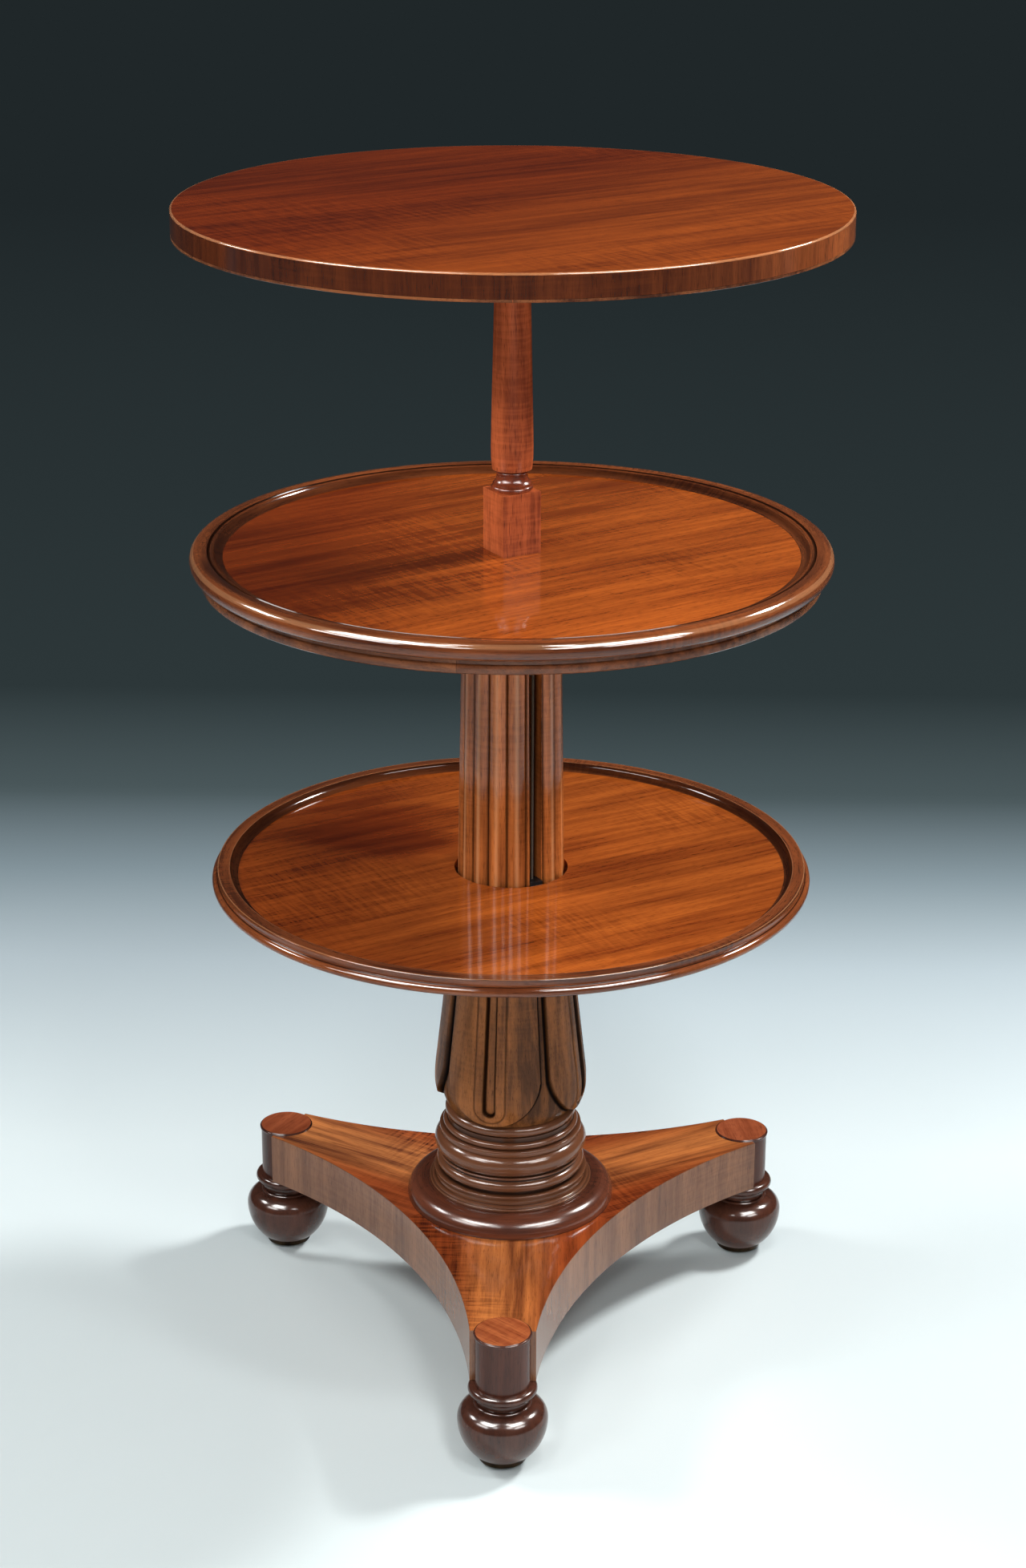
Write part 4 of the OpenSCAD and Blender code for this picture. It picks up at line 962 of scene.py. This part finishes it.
def vase_mesh():
    z, rows = VASE_FOOT_Z, []
    while z < VASE_TOP_Z - 1.6:
        rows.append(z)
        z += next(step for under, step in ROW_STEPS if z < under)
    rows += [VASE_TOP_Z - 1.6, VASE_TOP_Z - 1.1, VASE_TOP_Z - 0.6, VASE_TOP_Z]
    # Third numbers paint shade into the quirks and coves of the mouldings.
    below = on_neck((-4, -23.5), (14, -0.9), (16.3, 0.1), (16.7, 0.5), (16.7, 2.3), (16.3, 2.7))
    below += on_neck((14.4, 2.75, 0.7), (14.2, 2.95), (14.2, 4.8), (13.8, 5.1), (10.6, 5.2, 0.7))
    below += arc(6.6, NECK + 16.2, SEAT + 8.4, 209, 151, 8)
    below += on_neck((10.6, 11.65, 0.7), (11.7, 11.7), (12, 12), (12, 13.8), (11.7, 14.1))
    below += on_neck((5.7, 14.2, 0.9), (5.4, 16.4, 0.8))
    below += arc(5.6, NECK + 4, SEAT + 21.9, -74, 74, 16)
    below += on_neck((5.4, 27.5, 0.8), (5.4, 30.0, 0.8), (7.1, 30.2), (7.4, 30.5), (7.4, 31.7))
    below += on_neck((7.1, 32.0), (5.2, 32.3, 0.9), (4.6, 33.0, 0.7))
    below += arc(11.5, NECK, SEAT + 43.7, -67, 66, 30)
    below += on_neck((4.4, 54.4, 0.9), (6.1, 54.6, 0.3), (6.4, 54.9), (6.4, 59.9), (6.0, 60.3))
    below += on_neck((0.2, 60.4, 0.9))
    below += arc(3.6, NECK - 0.6, SEAT + 63.7, -66, 78, 14)
    below += on_neck((-0.8, 67.4, 0.8), (-0.8, 72.2, 0.5), (-2.7, 72.4, 0.8))
    below += arc(5.4, NECK - 4.4, SEAT + 77.6, -70, 82, 18)
    below += on_neck((-3.8, 83.1, 0.9))
    # The bore's lining is darkened all over, painted shade inside the column.
    above = [(NECK, VASE_TOP_Z + 0.2, 0.3), (NECK, 474.8, 0.2), (NECK - 5, 474.8, 0.9)]
    above += [(LINING_R, 474.0, 1.0), (LINING_R, 300.0, 1.0)]
    levels = [(z, (radius, shading)) for radius, z, shading in with_shading(below)]
    levels += [(z, carved) for z in rows]
    levels += [(z, (radius, shading)) for radius, z, shading in above]
    mesh = bpy.data.meshes.new("vase_wood")
    build = bmesh.new()
    dark = build.verts.layers.float.new("painted_shading")
    rings = [add_ring(build, dark, z, VASE_COLUMNS, shape) for z, shape in levels]
    for low, high in zip(rings, rings[1:]):
        for i in range(VASE_COLUMNS):
            j = (i + 1) % VASE_COLUMNS
            build.faces.new((low[i], low[j], high[j], high[i])).smooth = True
    build.to_mesh(mesh)
    build.free()
    mesh.set_sharp_from_angle(angle=math.radians(CARVING_CREASE))
    for face in mesh.polygons:
        if face.center.z < (VASE_FOOT_Z - 0.5) * MM:
            face.material_index = 1
    return mesh


vase_carving = mahogany(
    "vase_carving",
    (152, 94, 50),
    (84, 50, 27),
    0.9,
    0.15,
    turn=ALONG_Z,
    gloss=0.22,
    polish=0.35,
    painted_shading=(10, 7, 6),
)
vase_turning = mahogany(
    "vase_turning",
    (126, 78, 50),
    (72, 42, 29),
    0.5,
    0.15,
    0.4,
    unwrap=True,
    gloss=0.19,
    painted_shading=(18, 11, 9),
)
new_piece(vase_mesh(), "base", "vase_column", "mahogany", vase_carving, vase_turning)

# Lower tier
# A round board with a turned bearer beneath it and an applied rim: cavetto
# inside, a flat top, a hollow fascia and a bead.
base_wood = mahogany(
    "base_wood",
    (132, 70, 44),
    (66, 33, 23),
    0.8,
    0.2,
    0.4,
    turn=ALONG_Z,
    gloss=0.08,
    painted_shading=(26, 14, 10),
)
bearer_profile = [(COLUMN_HOLE, 455.0)]
bearer_profile += arc(12, 83.0, 467.0, -90, 0, 12)
bearer_profile += [(95.0, 474.9), (COLUMN_HOLE, 474.9)]
bearer_mesh = turn_on_lathe("lower_bearer_wood", bearer_profile)
new_piece(bearer_mesh, "base", "lower_bearer", "mahogany", base_wood)
tier_wood = mahogany(
    "lower_tier_figure",
    (174, 90, 33),
    (102, 41, 13),
    0.6,
    0.34,
    turn=(0, 0, math.radians(-31)),
    shift=(0.4, 0.13, 0.2),
    gloss=0.085,
    # Painted shade over the left of the tier.
    painted_side_shade=(180, 0.02, 0.2, (222, 208, 206)),
    # Painted shadow on the tier, left of the column.
    painted_shadow=(-0.135, 0.085, 0.488, 0.1, (186, 160, 156)),
)
dress(tier_wood, "lower_board")
rim_wood = mahogany(
    "rim_wood",
    (134, 72, 38),
    (70, 34, 20),
    unwrap=True,
    gloss=0.09,
    painted_shading=(18, 10, 8),
)
NOSE, RIM_TOP = 287.25, 495.7
# Third numbers paint shade into the bead's quirk and the cavetto, and a pale painted highlight
# (under zero) along the flat top's arrises.
rim_profile = [(273.4, 479.8), (NOSE - 5, 479.7, 0.5)]
rim_profile += arc(4.3, NOSE - 4.3, 484.0, -86, 80, 16)
rim_profile += [(NOSE - 4.6, 488.3, 0.9), (NOSE - 5.0, 488.6, 0.9)]
rim_profile += arc(10.2, NOSE + 4.4, 491.6, 196, 160, 10)
rim_profile += [(NOSE - 5.3, 495.2), (NOSE - 5.5, 495.6, -0.25), (NOSE - 5.9, RIM_TOP, -0.25)]
rim_profile += [(NOSE - 6.6, RIM_TOP), (271.2, RIM_TOP), (270.4, RIM_TOP, -0.2)]
rim_profile += [(270.1, 495.5, -0.15)]
rim_profile += [(*p, 0.55) for p in arc(8.57, 261.75, 496.57, -8, -84, 12)]
rim_profile += [(262.2, 487.95, 0.9), (261.9, 487.6, 0.9), (273.4, 487.6)]
rim_mesh = turn_on_lathe("lower_rim_wood", rim_profile, segments=360)
new_piece(rim_mesh, "base", "lower_rim", "mahogany", rim_wood)
dress(base_wood, "guide_collar", "well_cover")

# Reeded column
# The sliding column: sixteen reeds round a core, with a slot through it for
# the lifting gear. It carries the middle tier.
# The reeds get painted shade in their grooves and a painted highlight along their crests.
reed_wood = mahogany(
    "reed_wood",
    (202, 116, 56),
    (122, 66, 32),
    0.8,
    0.15,
    turn=ALONG_Z,
    shift=(0.1, 0.3, 0),
    gloss=0.12,
    painted_shading=(34, 18, 11),
    reeds=(16, -60.0),
)
dress(reed_wood, "reeded_column")
dress(base_wood, "middle_boss")

# Middle tier
# A round board with a bold torus rim and a cavetto round its floor. The lower
# ring under the nose is built up from sawn segments, no two quite of one tone.
middle_wood = mahogany(
    "middle_tier_figure",
    (178, 90, 32),
    (106, 42, 13),
    0.6,
    0.34,
    turn=(0, 0, math.radians(-35)),
    shift=(1.7, 0.52, 0.6),
    gloss=0.08,
    # Painted shade over the left of the tier.
    painted_side_shade=(175, 0.0, 0.2, (196, 168, 160)),
)
dress(middle_wood, "middle_board")
# Third numbers paint shade under the nose, into the quirk and the cavetto at the floor, and a pale
# painted highlight (under zero) along the top of the nose.
mid_profile = [(270.1, 794.5), (289.0, 794.5, 0.7)]
nose, painted_highlight = arc(9.0, 289.5, 803.5, -86, 94, 30), range(19, 24)
mid_profile += [(*p, -0.16 if i in painted_highlight else 0.0) for i, p in enumerate(nose)]
mid_profile += [(286.0, 812.2), (282.4, 811.9), (282.0, 811.6, 0.9), (281.2, 810.45, 0.9)]
mid_profile += [(280.2, 810.4, 0.9), (279.4, 811.4, 0.8), (279.1, 811.2), (277.8, 810.5)]
mid_profile += [(277.4, 810.1, 0.3)]
mid_profile += [(*p, 0.4) for p in arc(11.5, 267, 817, -36, -84, 12)]
mid_profile += [(267.6, 805.5, 0.9), (267.2, 805.2, 0.9), (270.1, 805.2)]
middle_rim_mesh = turn_on_lathe("middle_rim_wood", mid_profile, segments=360)
new_piece(middle_rim_mesh, "middle_stage", "middle_rim", "mahogany", rim_wood)
ring_wood = mahogany(
    "built_up_ring",
    (140, 84, 50),
    (76, 42, 27),
    0.9,
    turn=(0, 0, math.radians(25)),
    gloss=0.14,
)
tree = ring_wood.node_tree
skin = next(node for node in tree.nodes if node.type == "BSDF_PRINCIPLED").inputs["Base Color"]
timber = add_node(tree, "ShaderNodeAttribute", attribute_name="timber").outputs["Fac"]
plain = skin.links[0].from_socket
darker = blend_colour(tree, "MULTIPLY", 1.0, plain, tone(176, 158, 150))
tree.links.new(blend_colour(tree, "MIX", timber, plain, darker), skin)
RING_SEGMENTS, SEGMENT_STEPS, KERF = 7, 40, 0.25


def ring_segment(profile):
    """One sawn segment of a built-up ring, centred on the outward X axis."""
    half = math.pi / RING_SEGMENTS - KERF / 2 / profile[0][0]
    mesh = bpy.data.meshes.new("ring_segment")
    build = bmesh.new()
    cuts = []
    for i in range(SEGMENT_STEPS + 1):
        a = -half + 2 * half * i / SEGMENT_STEPS
        around = [(r * math.cos(a) * MM, r * math.sin(a) * MM, z * MM) for r, z in profile]
        cuts.append([build.verts.new(point) for point in around])
    count = len(profile)
    for low, high in zip(cuts, cuts[1:]):
        for k in range(count):
            m = (k + 1) % count
            build.faces.new((low[k], high[k], high[m], low[m])).smooth = True
    build.faces.new(cuts[0])
    build.faces.new(list(reversed(cuts[-1])))
    bmesh.ops.recalc_face_normals(build, faces=build.faces)
    build.to_mesh(mesh)
    build.free()
    mesh.set_sharp_from_angle(angle=math.radians(LATHE_CREASE))
    return mesh


built_up = bpy.data.node_groups.new("built_up_ring", "GeometryNodeTree")
name_sockets(
    built_up,
    "INPUT",
    Geometry="Geometry",
    Segments="Int",
    First_Joint="Float",
    Timber_Seed="Int",
    Wood="Material",
)
name_sockets(built_up, "OUTPUT", Geometry="Geometry")
given = built_up.nodes.new("NodeGroupInput").outputs
places = add_node(built_up, "GeometryNodePoints", {"Count": given["Segments"]}).outputs[0]
order = add_node(built_up, "GeometryNodeInputIndex").outputs[0]
step = sums(built_up, "DIVIDE", 2 * math.pi, given["Segments"])
angle = sums(built_up, "MULTIPLY_ADD", order, step, given["First Joint"])
angle = sums(built_up, "MULTIPLY_ADD", step, 0.5, angle)
turned = add_node(built_up, "ShaderNodeCombineXYZ", {"Z": angle}).outputs[0]
laid = add_node(
    built_up,
    "GeometryNodeInstanceOnPoints",
    {"Points": places, "Instance": given["Geometry"], "Rotation": turned},
).outputs[0]
timber = add_node(
    built_up,
    "FunctionNodeRandomValue",
    {"Seed": given["Timber Seed"], "ID": order},
    data_type="FLOAT",
)
tinted = add_node(
    built_up,
    "GeometryNodeStoreNamedAttribute",
    {"Geometry": laid, "Name": "timber", "Value": timber.outputs[1]},
    data_type="FLOAT",
    domain="INSTANCE",
).outputs[0]
joined = add_node(built_up, "GeometryNodeRealizeInstances", {"Geometry": tinted}).outputs[0]
finished = add_node(
    built_up, "GeometryNodeSetMaterial", {"Geometry": joined, "Material": given["Wood"]}
).outputs[0]
built_up.links.new(finished, built_up.nodes.new("NodeGroupOutput").inputs[0])


def build_up_ring(name, profile, first_joint, seed):
    """Lays segments round the axis with the tree and returns them as one mesh."""
    pattern = bpy.data.objects.new(name + "_pattern", ring_segment(profile))
    bpy.context.scene.collection.objects.link(pattern)
    laying = pattern.modifiers.new("built_up", "NODES")
    laying.node_group = built_up
    chosen = {"Segments": RING_SEGMENTS, "First Joint": math.radians(first_joint)}
    chosen |= {"Timber Seed": seed, "Wood": ring_wood}
    for item in built_up.interface.items_tree:
        if item.in_out == "INPUT" and item.name in chosen:
            laying[item.identifier] = chosen[item.name]
    graph = bpy.context.evaluated_depsgraph_get()
    mesh = bpy.data.meshes.new_from_object(pattern.evaluated_get(graph))
    mesh.name = name
    bpy.data.objects.remove(pattern)
    return mesh


ring_profile = [(270.1, 781.4), (286.1, 781.4), (287.4, 781.7), (288.3, 782.6)]
ring_profile += [(288.5, 783.8), (288.5, 788.0), (288.3, 789.2), (287.4, 790.1)]
ring_profile += [(286.6, 790.4), (286.5, 794.5), (270.1, 794.5)]
ring_mesh = build_up_ring("middle_ring_wood", ring_profile, first_joint=-98, seed=4)
new_piece(ring_mesh, "middle_stage", "middle_lower_ring", "dark_mahogany")

# Slender shaft
# One stick of a redder mahogany: a square foot that slides in the reeded
# column, small turned mouldings, and a cigar-shaped stem up to the top.
shaft_wood = mahogany(
    "shaft_wood",
    (188, 96, 54),
    (116, 52, 30),
    0.8,
    0.25,
    0.6,
    turn=ALONG_Z,
    shift=(0, 0.7, 0.2),
    gloss=0.22,
    polish=0.3,
    band=(0.8645, 0.884, (176, 160, 154)),
)
dress(shaft_wood, "slender_shaft", "top_bearer")

# Top
# The round top, veneered over its arris, with a crossbanded edge. Under it is
# a lipping built up from segments, as the middle tier's ring is.
top_wood = mahogany(
    "top_figure",
    (159, 75, 24),
    (90, 33, 9),
    0.5,
    0.34,
    0.45,
    turn=(0, 0, math.radians(-34)),
    shift=(2.9, 0.9, 1.1),
    gloss=0.09,
    painted_shading=(40, 18, 10),
    # Painted shade over the top's left and back.
    painted_side_shade=(146, -0.2, 0.1, (202, 170, 158)),
)
band_wood = mahogany(
    "crossband",
    (160, 86, 44),
    (92, 44, 25),
    0.6,
    turn=ALONG_Z,
    gloss=0.1,
    # Painted shade over the band's left and front.
    painted_side_shade=(-125, -0.12, 0.2, (142, 128, 120)),
)
# The arris arc gets a pale painted highlight (under zero).
top_profile = [(0, 1110.0), (302.9, 1110.0), (302.9, 1126.2), (304.98, 1126.2)]
top_profile += [(*p, -0.28) for p in arc(1.5, 303.48, 1126.5, 0, 90, 8)]
top_profile += [(303.0, 1128.0), (299, 1128.0), (150, 1128.0), (0, 1128.0)]
top_mesh = turn_on_lathe("top_wood", top_profile, segments=360, closed=False)
new_piece(top_mesh, "top_stage", "top_board", "figured_mahogany", top_wood)
band_profile = [(303.0, 1106.5), (304.7, 1106.5), (305.0, 1106.8), (305.0, 1126.1)]
band_profile += [(303.0, 1126.1)]
band_mesh = turn_on_lathe("edge_band_wood", band_profile, segments=360)
new_piece(band_mesh, "top_stage", "top_edge_band", "dark_mahogany", band_wood)
lipping_profile = [(263.0, 1104.0), (304.6, 1104.0), (305.0, 1104.4), (305.0, 1106.5)]
lipping_profile += [(302.9, 1106.5), (302.9, 1110.0), (263.0, 1110.0)]
lipping_mesh = build_up_ring("lipping_wood", lipping_profile, first_joint=-88.6, seed=9)
new_piece(lipping_mesh, "top_stage", "top_lipping", "mahogany")

# Cords
# Braided cord, greyed with age, taut from the keys over the pulleys to the
# foot of the shaft. As the table closes, the outer runs grow shorter and the
# inner ones longer; here each run is drawn once, as long as it is in model.glb.
CORD_R, CORD_OUTER, CORD_INNER = 1.25, 41.45, 23.95
CORD_SIDES, CORD_CREASE = 12, 40
SLOT_BEARINGS = (-60, 120)
braided_cord, tree = new_material("braided_cord")
spot = add_node(tree, "ShaderNodeTexCoord").outputs["Object"]
twist = stretched_noise(tree, spot, (1200, 1200, 700), 2)
colour = blend_colour(tree, "MIX", twist, tone(44, 36, 28), tone(78, 64, 48))
values = {"Base Color": colour, "Roughness": 0.85}
surface(tree, values, twist, strength=0.6, distance=0.0004)
dress(braided_cord, "cord_over_pulley")


def cord_run(node, radius):
    """The runs in the two slots, drawn out between the bodies that hold their ends."""
    low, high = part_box(node)[0][2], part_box(node)[1][2]
    build = bmesh.new()
    for bearing in SLOT_BEARINGS:
        ends = []
        for z in (low, high):
            ring = []
            for i in range(CORD_SIDES):
                a = 2 * math.pi * i / CORD_SIDES
                across, along = CORD_R * math.cos(a), CORD_R * math.sin(a)
                x, y = turned_by((radius + across, along), bearing)
                ring.append(build.verts.new((x * MM, y * MM, z)))
            ends.append(ring)
        for i in range(CORD_SIDES):
            j = (i + 1) % CORD_SIDES
            build.faces.new((ends[0][i], ends[0][j], ends[1][j], ends[1][i])).smooth = True
        build.faces.new(list(reversed(ends[0])))
        build.faces.new(ends[1])
    mesh = bpy.data.meshes.new(node + "_braid")
    build.to_mesh(mesh)
    build.free()
    mesh.set_sharp_from_angle(angle=math.radians(CORD_CREASE))
    mesh.materials.append(braided_cord)
    piece = bpy.data.objects.new(node + "_braid", mesh)
    bpy.context.scene.collection.objects.link(piece)
    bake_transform(piece)
    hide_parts(node)


cord_run("cord_outer_run", CORD_OUTER)
cord_run("cord_inner_run", CORD_INNER)
